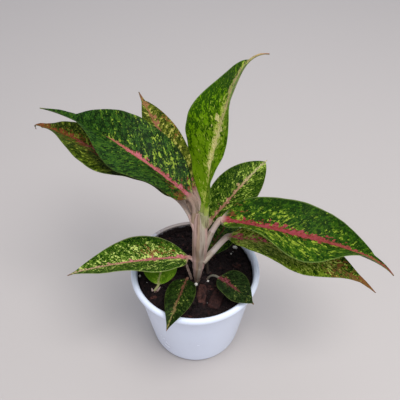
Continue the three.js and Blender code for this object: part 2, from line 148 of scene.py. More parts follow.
def makeMesh(name, shape, material=None, replaced=(), flat=False):
    # points in mm and their faces become a piece of the one body, at its place in the mesh
    points, faces = np.asarray(shape[0]).reshape(-1, 3) * mm, shape[1]
    mesh = bpy.data.meshes.new(name)
    mesh.from_pydata(points.tolist(), [], [list(map(int, face)) for face in faces])
    mesh.polygons.foreach_set("use_smooth", np.full(len(mesh.polygons), not flat))
    if material:
        mesh.materials.append(material)
    piece = bpy.data.objects.new(name, mesh)
    bpy.context.scene.collection.objects.link(piece)
    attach(piece, "root")
    if replaced:
        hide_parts(*replaced)
    return piece


def setValues(piece, name, values):
    # one number or one vector at each point, for the materials to read
    values = np.asarray(values, np.float32)
    kind, field = ("FLOAT", "value") if values.ndim == 1 else ("FLOAT_VECTOR", "vector")
    made = piece.data.attributes.new(name, kind, "POINT")
    made.data.foreach_set(field, values.ravel())


# material helpers: each adds its nodes and gives back an output


def addNode(kind, inputs, tree=None, **settings):
    # a node joins the given tree, or else the tree of the outputs that it reads
    tree = tree or next(v.id_data for v in inputs.values() if isinstance(v, bpy.types.NodeSocket))
    made = tree.nodes.new("ShaderNode" + kind)
    for name, value in settings.items():
        setattr(made, name, value)
    for name, value in inputs.items():
        if isinstance(value, bpy.types.NodeSocket):
            tree.links.new(value, made.inputs[name])
        else:
            made.inputs[name].default_value = value
    return made


def mixColour(share, first, second, blend="MIX"):
    # first where the share is 0, second where it is 1
    first, second = (c if isinstance(c, bpy.types.NodeSocket) else (*c, 1) for c in (first, second))
    inputs = {0: share, 6: first, 7: second}
    return addNode("Mix", inputs, data_type="RGBA", blend_type=blend).outputs[2]


def layered(colour, *coats):
    # each coat covers what is under it by its own share
    for share, coat in coats:
        colour = mixColour(share, colour, coat)
    return colour


def rampOf(value, low, high, most=1.0):
    # 0 at low, most at high and a smooth step between them
    inputs = {"Value": value, "From Min": low, "From Max": high, "To Max": most}
    return addNode("MapRange", inputs, interpolation_type="SMOOTHSTEP").outputs[0]


def mathOf(operation, *values):
    return addNode("Math", dict(enumerate(values)), operation=operation).outputs[0]


def times(first, *others):
    for other in others:
        first = mathOf("MULTIPLY", first, other)
    return first


def weighted(*pairs, start=0.0):
    # each value times its weight, added up
    for value, weight in pairs:
        start = mathOf("MULTIPLY_ADD", value, weight, start)
    return start


def stretched(place, scale, shift=(0, 0, 0)):
    return addNode("Mapping", {"Vector": place, "Scale": scale, "Location": shift}).outputs[0]


def noiseOf(place, scale, detail=2.0, roughness=0.5, shift=(0, 0, 0)):
    # scale is one number, or one for each direction
    if not isinstance(scale, float):
        place, scale = stretched(place, scale, shift), 1.0
    inputs = {"Vector": place, "Scale": scale, "Detail": detail, "Roughness": roughness}
    return addNode("TexNoise", inputs).outputs[0]


def valuesOf(tree, name, field="Vector"):
    return addNode("Attribute", {}, tree, attribute_name=name).outputs[field]


def objectPlace(tree):
    return addNode("TexCoord", {}, tree).outputs["Object"]


def partsOf(vector):
    return addNode("SeparateXYZ", {0: vector}).outputs


def newMaterial(name):
    material = bpy.data.materials.new(name)
    material.use_nodes = True
    return material, material.node_tree, material.node_tree.nodes["Principled BSDF"]


def finishSkin(skin, colour, rough, height, strength, depth):
    # colour, roughness and fine relief, depth in mm, go into the skin
    bump = addNode("Bump", {"Height": height, "Strength": strength, "Distance": depth * mm})
    for name, value in {"Base Color": colour, "Roughness": rough, "Normal": bump.outputs[0]}.items():
        skin.id_data.links.new(value, skin.inputs[name])


# the camera stands where the photograph was taken; place in mm, angle in degrees
view = {"place": (4.736, -317.986, 501.569), "down": 43.7, "lens": 45.0, "sensor": 36.0}
eye = bpy.data.cameras.new("eye")
eye.lens, eye.sensor_width = view["lens"], view["sensor"]
camera = bpy.data.objects.new("eye", eye)
camera.location = np.array(view["place"]) * mm
camera.rotation_euler = (np.radians(90 - view["down"]), 0, 0)
bpy.context.scene.collection.objects.link(camera)
bpy.context.scene.camera = camera


# Leaves. Lengths in mm, angles in degrees, as in the part's source:
# foot, base: where the stalk starts, and where it turns into the blade.
# heading, swing, rise, droop: the midrib's direction at the base, and how it changes by the tip.
# hook: how much further it turns and drops near the tip, and from which share of the length on.
# roll, twist: tilt about the midrib. fold, curl: how each half folds up and bends on to its margin.
# widest, full, tail: the outline. The tail is the slim end: its share of the length and half its width.
# lean, fuller, skew: how much more of widest, full and width the left half has, and the right half less.
# left, right: the wave of each margin, degrees and turns.
# stalk: half its width and half its height. steep: how steeply it leaves its foot. bend: the share of
# it that runs into the midrib's direction. collar: the share that is a sheath round the stem, 0 for a
# stalk that stands in the soil. small: with fewer rows and columns. slot: its material in the record.
usualLeaf = {
    "swing": 0, "hook": (0, 0, 0.8), "roll": 0, "twist": 0, "tail": (0.05, 1), "lean": 0, "fuller": 0,
    "skew": 0, "left": (0, 0), "right": (0, 0), "steep": 1, "bend": 0.35, "collar": 0, "small": False,
    "slot": "leaf_dark", "spots": (),
}
# look: the ground's colours (dark, green), those of specks and blooms, then the size of a fleck in mm,
# how many specks and how much in clusters, near the rib and in trails, how strong the margin's colour
# and the fine specks are, the midrib's colours, its width in mm, the shares of the length where it starts
# and ends, how ragged it is, the other colours, where the tip's begins, and roughness and gloss.
usualLook = {
    "dark": (0.006, 0.026, 0.0015), "green": (0.018, 0.068, 0.004), "speck": (0.12, 0.2, 0.016),
    "bloom": (0.3, 0.36, 0.07), "fleck": 1.9, "specks": 0.4, "patchy": 0.5, "nearRib": 0.1, "trails": 0.2,
    "edge": 0.25, "fine": 0.4, "rib": (0.3, 0.045, 0.045), "core": (0.42, 0.1, 0.13),
    "ribEnd": (0.24, 0.07, 0.035), "ribWide": 5.5, "ribFrom": -1, "ribTo": 1.2, "ragged": 1.6,
    "blush": (0.17, 0.05, 0.02), "margin": (0.16, 0.2, 0.04), "tip": (0.22, 0.07, 0.04), "tipAt": 0.95,
    "stalk": (0.42, 0.34, 0.29), "stalkEnd": (0.36, 0.24, 0.19), "rough": 0.4, "gloss": 0.03,
}


def leafOf(look, **shape):
    # what a leaf doesn't state is as on most leaves
    return {**usualLeaf, **shape, "look": {**usualLook, **look}}


# spots: places on the blade as share of the length, share of half the width (left is positive), reach
# along and reach across, then how much more blush, how many more specks and how much brighter a ground
leaves = {
    "leaf_1": leafOf(
        length=176, width=67, foot=(0, 3, 164), base=(-4, 9.7, 192), heading=152, swing=-4.6, rise=28.5,
        droop=37, hook=(9, -4, 0.8), roll=-5, twist=12, fold=28, curl=-12, widest=0.4, full=0.74,
        tail=(0.23, 6.5), lean=-0.05, fuller=0.03, skew=0.02, left=(15, 0.04), right=(6, 0.35),
        stalk=(4, 2.8), collar=0.45,
        look=dict(
            dark=(0.002, 0.012, 0.001), green=(0.012, 0.048, 0.005), speck=(0.08, 0.165, 0.008),
            bloom=(0.25, 0.33, 0.035), fleck=1.5, specks=0.05, patchy=0.9, nearRib=0.04, trails=0.35,
            edge=0.1, fine=0.2, rib=(0.35, 0.09, 0.08), core=(0.46, 0.13, 0.17),
            ribEnd=(0.36, 0.2, 0.09), ribWide=4.4, ribTo=0.5, ragged=1.1, tip=(0.2, 0.22, 0.06),
            rough=0.36, gloss=0.05),
        spots=[(0.85, 0, 0.3, 1.2, 0, -1.3, 0), (0.4, 0.7, 0.6, 0.6, 0, -1.1, 0.2),
               (0.2, -0.5, 0.25, 0.5, 0, 0.4, -0.3), (0.04, 0.2, 0.1, 0.5, 0.5, 0.7, 0.5),
               (0.5, -0.1, 0.08, 0.2, 0, 0.8, 0)]),
    "leaf_2": leafOf(
        length=177, width=53.5, foot=(1.6, 0, 160), base=(-20, 24, 182), heading=164, swing=-26,
        rise=27.7, droop=49, hook=(0, 120, 0.94), roll=5.4, twist=-3.4, fold=28, curl=-11, widest=0.41,
        full=0.71, tail=(0.13, 4), lean=0.01, fuller=-0.035, left=(16, 0.08), right=(3, 0.88),
        stalk=(4.5, 2.5), steep=1.5, collar=0.36, slot="leaf_olive",
        look=dict(
            dark=(0.01, 0.02, 0.001), green=(0.03, 0.054, 0.003), speck=(0.1, 0.14, 0.01),
            bloom=(0.22, 0.26, 0.03), specks=0.26, rib=(0.2, 0.06, 0.02), ribEnd=(0.22, 0.07, 0.02),
            ribWide=4.5, ragged=2.4, blush=(0.15, 0.045, 0.012), tip=(0.16, 0.04, 0.02)),
        spots=[(0.62, 0.1, 0.3, 0.35, 0.7, 0, 0), (0.93, 0, 0.1, 1, 0.9, 0, 0)]),
    "leaf_3": leafOf(
        length=127, width=39, foot=(5, 4, 162), base=(0, 28, 182), heading=129, swing=-18, rise=31,
        droop=24, roll=7, fold=16, curl=-22, widest=0.42, full=0.7, tail=(0.12, 2), lean=-0.04,
        skew=0.02, left=(2, 0.3), right=(2, 0.35), stalk=(3, 2.2), collar=0.4, slot="leaf_olive",
        look=dict(
            dark=(0.014, 0.026, 0.001), green=(0.05, 0.07, 0.004), speck=(0.16, 0.18, 0.015),
            bloom=(0.34, 0.32, 0.07), fleck=1.7, specks=0.27, trails=0.4, rib=(0.24, 0.085, 0.05),
            core=(0.28, 0.105, 0.09), ribEnd=(0.25, 0.12, 0.05), ribWide=3.8, ragged=2.2,
            blush=(0.18, 0.075, 0.02), tip=(0.13, 0.05, 0.035), tipAt=0.88),
        spots=[(0.75, -0.9, 0.3, 0.4, 0.5, 0, 0.1), (0.97, 0, 0.06, 1, 1, 0, 0),
               (0.5, 0.6, 0.5, 0.4, 0, -0.8, -0.5)]),
    "leaf_4": leafOf(
        length=161, width=57.5, foot=(8, 1, 166), base=(9, 1, 188), heading=30, swing=-40, rise=85,
        droop=19, hook=(-5, 69, 0.8), roll=7.5, twist=-0.7, fold=18.7, curl=-5.5, widest=0.51,
        full=0.92, tail=(0.1, 1.2), lean=0.006, fuller=0.08, skew=0.19, left=(11.4, 0.5),
        right=(11.8, -0.13), stalk=(4.6, 3.6), collar=0.66, slot="leaf_bright",
        look=dict(
            dark=(0.02, 0.07, 0.001), green=(0.125, 0.27, 0.002), speck=(0.24, 0.4, 0.014),
            bloom=(0.5, 0.58, 0.1), fleck=1.7, specks=0.18, patchy=0.9, nearRib=0.3, edge=0.4,
            fine=0.25, rib=(0.74, 0.72, 0.22), core=(0.86, 0.8, 0.36), ribEnd=(0.46, 0.4, 0.17),
            ribWide=6, ribFrom=0.24, ragged=3, margin=(0.2, 0.32, 0.04), tip=(0.4, 0.2, 0.12),
            tipAt=0.9, stalk=(0.44, 0.42, 0.27), stalkEnd=(0.33, 0.42, 0.07)),
        spots=[(0.78, 0.5, 0.3, 1, 0, -0.6, -0.9), (0.5, 1.0, 0.35, 0.3, 0, -0.6, -0.7),
               (0.15, 0.5, 0.28, 1, 0, -0.5, 1.2), (0.5, -0.4, 0.3, 0.5, 0, 0.3, 0.4)]),
    "leaf_5": leafOf(
        length=82, width=47, foot=(5, 3, 143), base=(15.4, 17.9, 152.8), heading=39, swing=3, rise=34,
        droop=17, roll=2.5, twist=3, fold=18, curl=-15, widest=0.43, full=0.62, tail=(0.04, 1),
        left=(2, 0.28), right=(1, 0.68), stalk=(2.6, 2), collar=0.4,
        look=dict(
            dark=(0.006, 0.024, 0.001), green=(0.028, 0.066, 0.003), speck=(0.11, 0.18, 0.014),
            bloom=(0.32, 0.42, 0.07), fleck=1.35, specks=0.12, edge=0.4, rib=(0.3, 0.12, 0.08),
            core=(0.44, 0.26, 0.18), ribEnd=(0.45, 0.42, 0.2), ribWide=2.8, tip=(0.45, 0.4, 0.2),
            stalk=(0.28, 0.17, 0.11)),
        spots=[(0.9, 0, 0.15, 1, 0, 0.2, 0.1), (0.6, 1, 0.5, 0.4, 0, -0.5, -0.5)]),
    "leaf_6": leafOf(
        length=171, width=65, foot=(7.2, -5, 135), base=(24.5, 4.4, 167.7), heading=-17, swing=9.2,
        rise=4.7, droop=38, hook=(-14.8, 12.3, 0.8), roll=-0.7, twist=-2.8, fold=28.2, curl=-8.8,
        widest=0.415, full=0.577, tail=(0.157, 5.2), lean=-0.044, fuller=-0.1, left=(5.8, 0.45),
        right=(-18.3, 0.534), stalk=(3.6, 3), steep=0.4, bend=0.12, collar=0.5,
        look=dict(
            dark=(0.005, 0.022, 0.001), green=(0.012, 0.05, 0.002), speck=(0.075, 0.145, 0.006),
            bloom=(0.24, 0.31, 0.03), specks=0.07, patchy=0.7, nearRib=0.05, edge=0.4, fine=0.25,
            rib=(0.22, 0.033, 0.028), core=(0.26, 0.045, 0.058), ribEnd=(0.25, 0.06, 0.045),
            ribWide=7.8, ragged=2.3, margin=(0.22, 0.3, 0.07), stalk=(0.48, 0.41, 0.38),
            stalkEnd=(0.45, 0.33, 0.28)),
        spots=[(0.3, -0.6, 0.45, 0.5, 0, 0.8, 0.5), (0.06, 0.2, 0.06, 0.5, 0.5, 0.5, 0.4),
               (0.65, 1, 0.5, 0.3, 0, -0.5, -0.4), (0.3, 0.9, 0.3, 0.3, 0, -0.2, -0.2),
               (0.3, 0.45, 0.08, 0.15, 0, 0.5, 0)]),
    "leaf_7": leafOf(
        length=151.5, width=56.5, foot=(7, -9, 125), base=(32, 4.6, 144.8), heading=-17, swing=-2.4,
        rise=8.6, droop=47.5, roll=-3.7, twist=8.2, fold=20.3, curl=-12.8, widest=0.403, full=0.8,
        tail=(0.14, 4), lean=-0.025, right=(8.5, -0.084), stalk=(3.2, 3), steep=-0.3, bend=0.12,
        collar=0.3, slot="leaf_olive",
        # its greens, specks, blooms and rib are lighter partly as painted light where leaf_6's shadow
        # falls on it, and its last spot lightens the ground there as painted light
        look=dict(
            dark=(0.01, 0.034, 0.001), green=(0.085, 0.155, 0.006), speck=(0.29, 0.39, 0.035),
            bloom=(0.52, 0.58, 0.12), fleck=1.6, specks=0.29, rib=(0.58, 0.13, 0.13),
            core=(0.7, 0.14, 0.2), ribWide=3, ribTo=0.26, ragged=2, blush=(0.2, 0.07, 0.025),
            stalk=(0.48, 0.42, 0.39), stalkEnd=(0.46, 0.36, 0.31)),
        spots=[(0.75, -0.1, 0.2, 0.6, 0.45, -0.3, -0.7), (0.95, 0, 0.13, 1, 0.5, -0.9, -0.8),
               (0.1, 0.2, 0.1, 0.5, 0.2, 0.4, 0.3), (0.3, -0.5, 0.3, 0.5, 0, 0.4, 0.6)]),
    "leaf_8": leafOf(
        length=118, width=52.5, foot=(0.8, -8, 122), base=(-6.6, -6.8, 127.6), heading=184.5, swing=7.5,
        rise=1.5, droop=11, hook=(-17, 25, 0.8), roll=4, twist=4.7, fold=26, curl=-10, widest=0.37,
        full=0.68, tail=(0.06, 1.5), lean=-0.03, fuller=-0.14, left=(5, 0.48), right=(-3, 0.03),
        stalk=(2.2, 1.6), steep=0.2, bend=0.3, collar=0.7, slot="leaf_bright",
        look=dict(
            dark=(0.005, 0.024, 0.001), green=(0.024, 0.075, 0.003), speck=(0.16, 0.27, 0.025),
            bloom=(0.54, 0.62, 0.17), fleck=1.2, specks=0.23, patchy=0.7, edge=0.45,
            rib=(0.38, 0.11, 0.11), core=(0.52, 0.2, 0.21), ribEnd=(0.42, 0.3, 0.18), ribWide=3.2,
            ragged=1.2, margin=(0.36, 0.4, 0.14), stalk=(0.38, 0.27, 0.22), stalkEnd=(0.42, 0.24, 0.2)),
        spots=[(0.25, -0.3, 0.2, 0.3, 0.4, 0.1, 0), (0.45, -1.1, 0.5, 0.25, 0, -1.2, -1.2),
               (0.5, 0.7, 0.5, 0.5, 0, -0.3, -0.3)]),
    "leaf_9": leafOf(
        length=59, width=28, foot=(-8.5, -12.5, 96), base=(-8, -19, 109), heading=256, swing=-8,
        rise=14, droop=46, roll=-1, twist=-1, fold=19, curl=-19, widest=0.38, full=0.71, lean=0.01,
        skew=0.02, left=(3, 0.85), right=(-2, 0.64), stalk=(1.3, 1.1), small=True,
        look=dict(
            dark=(0.004, 0.01, 0.001), green=(0.012, 0.03, 0.003), speck=(0.05, 0.08, 0.015), fleck=1.2,
            specks=-0.25, fine=0.15, rib=(0.11, 0.045, 0.025), core=(0.16, 0.08, 0.045),
            ribEnd=(0.2, 0.17, 0.06), ribWide=2.2, ragged=0.8, stalk=(0.13, 0.08, 0.06),
            stalkEnd=(0.12, 0.06, 0.04))),
    "leaf_10": leafOf(
        length=45, width=33, foot=(12, -10, 97), base=(23, -16, 108), heading=-43, swing=-3, rise=7,
        droop=17, twist=2, fold=23, curl=-11, widest=0.43, full=0.69, lean=-0.05, skew=0.02,
        left=(-3, 0.7), right=(5, 0.61), stalk=(1.3, 1.1), steep=2, bend=0.5, small=True,
        look=dict(
            dark=(0.004, 0.009, 0.002), green=(0.012, 0.03, 0.006), speck=(0.05, 0.07, 0.02), fleck=1.2,
            specks=-0.15, fine=0.15, rib=(0.12, 0.03, 0.03), core=(0.2, 0.06, 0.07),
            ribEnd=(0.1, 0.07, 0.03), ribWide=4, ribTo=0.6, ragged=1.2, stalk=(0.16, 0.15, 0.12),
            stalkEnd=(0.14, 0.14, 0.11)),
        spots=[(0.9, 0.5, 0.15, 0.8, 0.2, 0.9, 0.6)]),
    "leaf_11": leafOf(
        length=42, width=34, foot=(-41, -25, 96), base=(-36, -20, 102), heading=86, rise=15, droop=20,
        fold=16, curl=-14, widest=0.42, full=0.6, left=(2, 0.2), right=(2, 0.5), stalk=(1.2, 1),
        bend=0.3, small=True, slot="leaf_plain",
        look=dict(
            dark=(0.075, 0.18, 0.007), green=(0.12, 0.26, 0.012), speck=(0.18, 0.31, 0.018),
            bloom=(0.22, 0.36, 0.03), specks=0.2, rib=(0.4, 0.42, 0.14), core=(0.42, 0.44, 0.16),
            ribEnd=(0.3, 0.34, 0.08), ribWide=1.8, ragged=0.5, stalk=(0.4, 0.33, 0.25),
            stalkEnd=(0.36, 0.38, 0.16))),
    "leaf_12": leafOf(
        length=66, width=36, foot=(12.5, -2, 96), base=(13, 6, 117), heading=60, rise=15, droop=22,
        fold=18, curl=-14, widest=0.4, full=0.66, left=(2, 0.2), right=(3, 0.5), stalk=(1.8, 1.5),
        bend=0.3, small=True,
        # its colours, and most of all its stalk's, are darker partly as painted shade, since it stands in
        # shadow behind the other stalks
        look=dict(
            dark=(0.004, 0.016, 0.002), green=(0.01, 0.036, 0.004), specks=-0.2, rib=(0.08, 0.04, 0.02),
            core=(0.09, 0.05, 0.03), ribWide=2, stalk=(0.05, 0.036, 0.034),
            stalkEnd=(0.04, 0.04, 0.025))),
}
for number, leaf in enumerate(leaves.values(), 1):
    leaf["seed"] = number

# Values that all blades share. rows, stalkRows, columns: for a large and for a small leaf.
# half, marginHalf: half the thickness in the middle and at the margin. ridge, groove: height and half
# width of the ridge under the midrib and of the groove over it. channel: the stalk's, as shares of its
# height and width. collarSwell: how far a sheath bulges at the stem. buried: depths of a stalk's end.
# blend: the share of the length in which the stalk's section turns into the blade's. tipHalf: half width
# at the tip. quilt: how far it swells between side veins. lumps: strength, size in mm and seed of each
# sort. edgeWave: the same for the margin. veinGap, veinLean, veinBend: distance and slant of the side
# veins. cellLean: slant of the flecks. usualWidth: the width for which relief and veins are stated.
# droopPower: how late the midrib droops. waves: how many the margin has along the length. rowPower and
# columnPower: how much closer rows and columns stand at the base and at the midrib. stalkStart: the share
# of a stalk that keeps the direction in which it leaves its foot.
blade = {
    "rows": (150, 82), "stalkRows": (40, 20), "columns": (61, 41),
    "half": 0.35, "marginHalf": 0.17, "ridge": (1.3, 2.4), "groove": (0.35, 1.5), "channel": (0.75, 0.42),
    "collarSwell": 1.2, "buried": [14.0, 7.0], "blend": 0.14, "tipHalf": 0.5, "droopPower": 1.4,
    "waves": 1.6, "quilt": 0.22, "lumps": [(0.5, 17, 3), (0.25, 7, 5)], "edgeWave": (0.7, 9, 8),
    "veinGap": 8.5, "veinLean": 0.9, "veinBend": 0.008, "cellLean": 0.45, "usualWidth": 68,
    "rowPower": 1.15, "columnPower": 1.2, "stalkStart": 0.35,
}


def midribPath(leaf, t):
    # direction at t: heading + swing t, slope rise - droop t^1.4, and near the tip the hook's turn and
    # drop times a square. Place: base plus the running sum of the direction over the length
    turn, drop, start = leaf["hook"]

    def directionAt(s):
        late = np.clip((s - start) / (1 - start), 0, 1) ** 2
        azimuth = np.radians(leaf["heading"] + leaf["swing"] * s + turn * late)
        slope = np.radians(leaf["rise"] - leaf["droop"] * s ** blade["droopPower"] - drop * late)
        flat = np.cos(slope)
        return together(flat * np.cos(azimuth), flat * np.sin(azimuth), np.sin(slope))

    count = 1200
    fine = np.linspace(0, 1, count + 1)
    steps = directionAt((fine[1:] + fine[:-1]) / 2) * leaf["length"] / count
    path = np.concatenate([np.zeros((1, 3)), np.cumsum(steps, 0)]) + leaf["base"]
    centre = together(*(np.interp(t, fine, path[:, k]) for k in range(3)))
    direction = directionAt(t)
    side = unit(together(-direction[..., 1], direction[..., 0], 0 * t))
    return centre, direction, side


def stalkPath(leaf, u):
    # a cubic curve that leaves its foot upward and runs into the midrib; its side stays level
    foot, base = np.array(leaf["foot"], float), np.array(leaf["base"], float)
    reach = np.linalg.norm(base - foot)
    start = unit(unit(base - foot) + up * leaf["steep"])
    into = midribPath(leaf, np.zeros(1))[1][0]
    b, c = foot + blade["stalkStart"] * reach * start, base - leaf["bend"] * reach * into
    a, d = foot, base
    u = u[:, None]
    centre = a * (1 - u) ** 3 + 3 * b * u * (1 - u) ** 2 + 3 * c * u**2 * (1 - u) + d * u**3
    direction = unit(3 * (b - a) * (1 - u) ** 2 + 6 * (c - b) * u * (1 - u) + 3 * (d - c) * u**2)
    azimuth = np.radians(leaf["heading"])
    level = np.array([-np.sin(azimuth), np.cos(azimuth), 0.0])
    side = unit(level - direction * (direction @ level)[:, None])
    return centre, direction, side


def halfWidth(leaf, t, sign):
    # a rising and a falling power that meet at the widest place, and a slim tail that goes on to the tip
    widest = leaf["widest"] + leaf["lean"] * sign
    full = leaf["full"] + leaf["fuller"] * sign
    fall = full * (1 - widest) / widest
    share, tailWide = leaf["tail"]
    end = 1 - share
    along = np.clip(t / end, 1e-6, 1 - 1e-6)
    body = leaf["width"] / 2 * (along / widest) ** full * ((1 - along) / (1 - widest)) ** fall
    tail = tailWide * np.where(t < end, (t / end) ** 2, (1 - t) / share)
    return (body + tail) * (1 + leaf["skew"] * sign)


def leafRows(leaf, collar):
    # rows along the stalk and then the midrib: centre, direction, side, t as share of the blade's length,
    # roll, and mm from the base; the sheath alone for a collar
    bladeRows, stalkRows = blade["rows"][leaf["small"]], blade["stalkRows"][leaf["small"]]
    start, stop = (0.0, leaf["collar"] + 0.02) if collar else (leaf["collar"], 1.0)
    u = np.linspace(start, stop, stalkRows)
    centre, direction, side = stalkPath(leaf, u)
    t, roll = 0 * u, np.radians(leaf["roll"]) * u
    along = (u - 1) * np.linalg.norm(np.subtract(leaf["base"], leaf["foot"]))
    if not collar:
        grow = np.linspace(0, 1, bladeRows + 1)[1:] ** blade["rowPower"]
        frames = zip((centre, direction, side), midribPath(leaf, grow))
        centre, direction, side = (np.concatenate(pair) for pair in frames)
        t = np.concatenate([t, grow])
        roll = np.concatenate([roll, np.radians(leaf["roll"] + leaf["twist"] * grow)])
        along = np.concatenate([along, grow * leaf["length"]])
    if leaf["collar"] == 0:  # the buried end stands straight down in the soil
        depth = np.array(blade["buried"])
        centre = np.concatenate([centre[:1] - up * depth[:, None], centre])
        direction = np.concatenate([np.tile(up, (2, 1)), direction])
        side = np.concatenate([np.tile(unit(side[0] * (1, 1, 0)), (2, 1)), side])
        t, roll = (np.concatenate([values[:1], values[:1], values]) for values in (t, roll))
        along = np.concatenate([along[0] - depth, along])
    return u, centre, direction, side, t[:, None], roll, along[:, None]


def leafSurface(leaf, collar=False):
    # columns run from the right margin over the midrib to the left one. Each half is an arc: it starts at
    # the fold angle and bends by the curl up to its margin
    u, centre, direction, side, t, roll, along = leafRows(leaf, collar)
    rise = np.cross(direction, side)
    c, s = np.cos(roll)[:, None], np.sin(roll)[:, None]
    across, above = side * c + rise * s, rise * c - side * s
    scale = leaf["width"] / blade["usualWidth"]

    q = np.linspace(-1, 1, blade["columns"][leaf["small"]])
    share = np.sign(q) * np.abs(q) ** blade["columnPower"]
    sign, outward = np.sign(share)[None, :], np.abs(share)[None, :]
    stalkShare = np.clip(1 - t / blade["blend"], 0, 1) ** 2
    bladeShare = 1 - stalkShare
    wide = np.where(t > 0, halfWidth(leaf, np.maximum(t, 1e-9), sign), 0)
    stalkWide, stalkHigh = leaf["stalk"]
    least = blade["tipHalf"] * np.where(t > 0, 1 - 0.8 * t**8, 1)
    x = outward * np.maximum(np.hypot(wide, stalkWide * stalkShare), least)
    degrees, turns = (np.where(sign < 0, leaf["right"][k], leaf["left"][k]) for k in (0, 1))
    wave = degrees * np.sin(2 * np.pi * (blade["waves"] * t + turns)) * np.sin(np.pi * t) ** 0.5
    fold = np.radians(leaf["fold"] + wave) * bladeShare
    bend = np.radians(leaf["curl"]) / (leaf["width"] / 2) * bladeShare
    bend = np.where(np.abs(bend) < 1e-6, -1e-6, bend)
    out = (np.sin(fold + bend * x) - np.sin(fold)) / bend
    lift = (np.cos(fold) - np.cos(fold + bend * x)) / bend

    # side veins leave the midrib at a slant and curve towards the tip; lumps and waves lie over them
    vein = along - x * blade["veinLean"] - blade["veinBend"] * x**2
    phase = np.abs((vein / (blade["veinGap"] * scale)) % 1 - 0.5)
    quilt = blade["quilt"] * (smoothStep(0, 0.28, phase) - 0.5)
    quilt = quilt * smoothStep(0, 3, x) * (1 - outward) ** 0.5
    body = together(along, sign * x, 0 * x + 50.0 * leaf["seed"])
    lumps = sum(strength * softNoise(body, size, seed) for strength, size, seed in blade["lumps"])
    strength, size, seed = blade["edgeWave"]
    edge = strength * softNoise(body * (1, 0.02, 1), size, seed) * outward**6
    lift = lift + (quilt + lumps * smoothStep(0, 8, x) + edge) * scale * bladeShare
    middle = across[:, None] * (sign * out)[..., None] + above[:, None] * lift[..., None]
    middle = centre[:, None] + middle

    # thickness: oval stalk, thin blade, and a ridge under the midrib with a groove above it
    thin = blade["half"] + (blade["marginHalf"] - blade["half"]) * outward**1.5
    oval = (stalkHigh - blade["half"]) * stalkShare * np.sqrt(np.clip(1 - share**2, 0, 1))
    high, wide = blade["ridge"]
    ridge = high * (1 - 0.7 * t) * scale * bladeShare * np.exp(-((x / (wide * scale)) ** 2))
    high, wide = blade["groove"]
    groove = high * (1 - 0.8 * t) * scale * bladeShare * np.exp(-((x / (wide * scale)) ** 2))
    high, wide = blade["channel"]
    channel = high * stalkHigh * stalkShare * np.exp(-((share / wide) ** 2)) * smoothStep(-30, -4, along)
    if leaf["collar"] == 0 or collar:
        channel = 0
    topSkin, underSkin = thin + oval - groove - channel, thin + oval + ridge
    if collar:
        swell = blade["collarSwell"] * (1 - u / leaf["collar"]).clip(0)[:, None]
        middle = middle + across[:, None] * (share[None, :] * swell)[..., None]
        topSkin, underSkin = (skin + swell * np.sqrt(1 - share**2) for skin in (topSkin, underSkin))
    normal = unit(np.cross(np.gradient(middle, axis=0), np.gradient(middle, axis=1)))
    top = middle + normal * topSkin[..., None]
    under = middle - normal * underSkin[..., None]

    # for the material: mm along the veins and out, mm along the slanting flecks and out, and shares
    apart = 9.0 * sign + 3.7 * leaf["seed"]
    veins = together(vein, x * 0.85, apart)
    cells = together(along - x * blade["cellLean"], x, apart)
    shares = together(np.where(t > 0, t, along / 60), sign * x, outward)
    return top, under, veins, cells, shares


def moodOf(leaf, shares):
    # bell-shaped spots on the blade, each with its own reach along and across, added up
    total = np.zeros(shares.shape)
    for t, share, longReach, wideReach, *amounts in leaf["spots"]:
        aside = shares[..., 1] / (leaf["width"] / 2) - share
        away = ((shares[..., 0] - t) / longReach) ** 2 + (aside / wideReach) ** 2
        total += np.exp(-away)[..., None] * np.array(amounts)
    return total


# The pattern of the blades. patch, dot, cluster: sizes in flecks. uneven: how far and how finely the
# edges of the cells wander, in mm. ground, level: how much each size of cell counts for the greens and
# for the specks. trails, lines, veins: stretch of the faint trails along the veins, of the stalk's lines
# and of the fine veins.
mottle = {
    "patch": 2.3, "dot": 0.45, "cluster": 5, "uneven": (2.2, 2.4),
    "ground": {"fleck": 0.35, "patch": 0.4, "dot": 0.25, "spots": 0.25},
    "level": {"fleck": 0.45, "patch": 0.25, "dot": 0.25, "cluster": 0.5, "spots": 0.2},
    "trails": (0.3, 0.05, 1), "trailShift": (5, 2, 0), "lines": (6, 1.6, 1), "veins": (1.6, 0.12, 1),
    "dusk": (0.55, 0.5, 0.5), "under": (0.17, 0.24, 0.09), "stalkLine": (0.3, 0.17, 0.11),
    # between which values each coat comes in, and how much it covers where that isn't all
    "greenFrom": (0.4, 0.58), "paleFrom": (0.66, 0.72, 0.35), "fineFrom": (0.74, 0.8),
    "blushFrom": (0.95, 1.05, 0.8), "veinWithin": (0.07, 0.0, 0.3), "marginFrom": (0.95, 0.99),
    "ribEndFrom": (0.3, 0.85), "duskFrom": (0.55, 0.85), "lineFrom": (0.5, 0.72, 0.6),
    # in mm from the midrib: where specks gather, and where its edge and its core end
    "nearRib": (9.0, 1.5), "ribEdge": (0.25, -0.35), "coreWithin": (-0.6, -2.2),
    # shares of the length, negative on the stalk: how its colour changes, and where the blade's begins
    "stalkEndFrom": (-0.45, 0.05), "bladeFrom": (0.035, -0.01), "underShare": 0.55,
}


def unevenPlace(place):
    # the place plus noise in each direction, so that the edges of the cells run unevenly
    far, size = mottle["uneven"]
    at = stretched(place, (1 / size, 1 / size, 1))
    noise = addNode("TexNoise", {"Vector": at, "Scale": 1.0})
    inputs = {0: noise.outputs["Color"], 1: (far, far, 0), 2: place}
    return addNode("VectorMath", inputs, operation="MULTIPLY_ADD").outputs[0]


def lumpsOf(place, size, shift):
    # noise whose lumps are about size mm across, moved aside by shift so that no two are alike
    return noiseOf(place, (1 / size, 1 / size, 1), 2.0, 0.6, (shift, 2.3 * shift, 0))


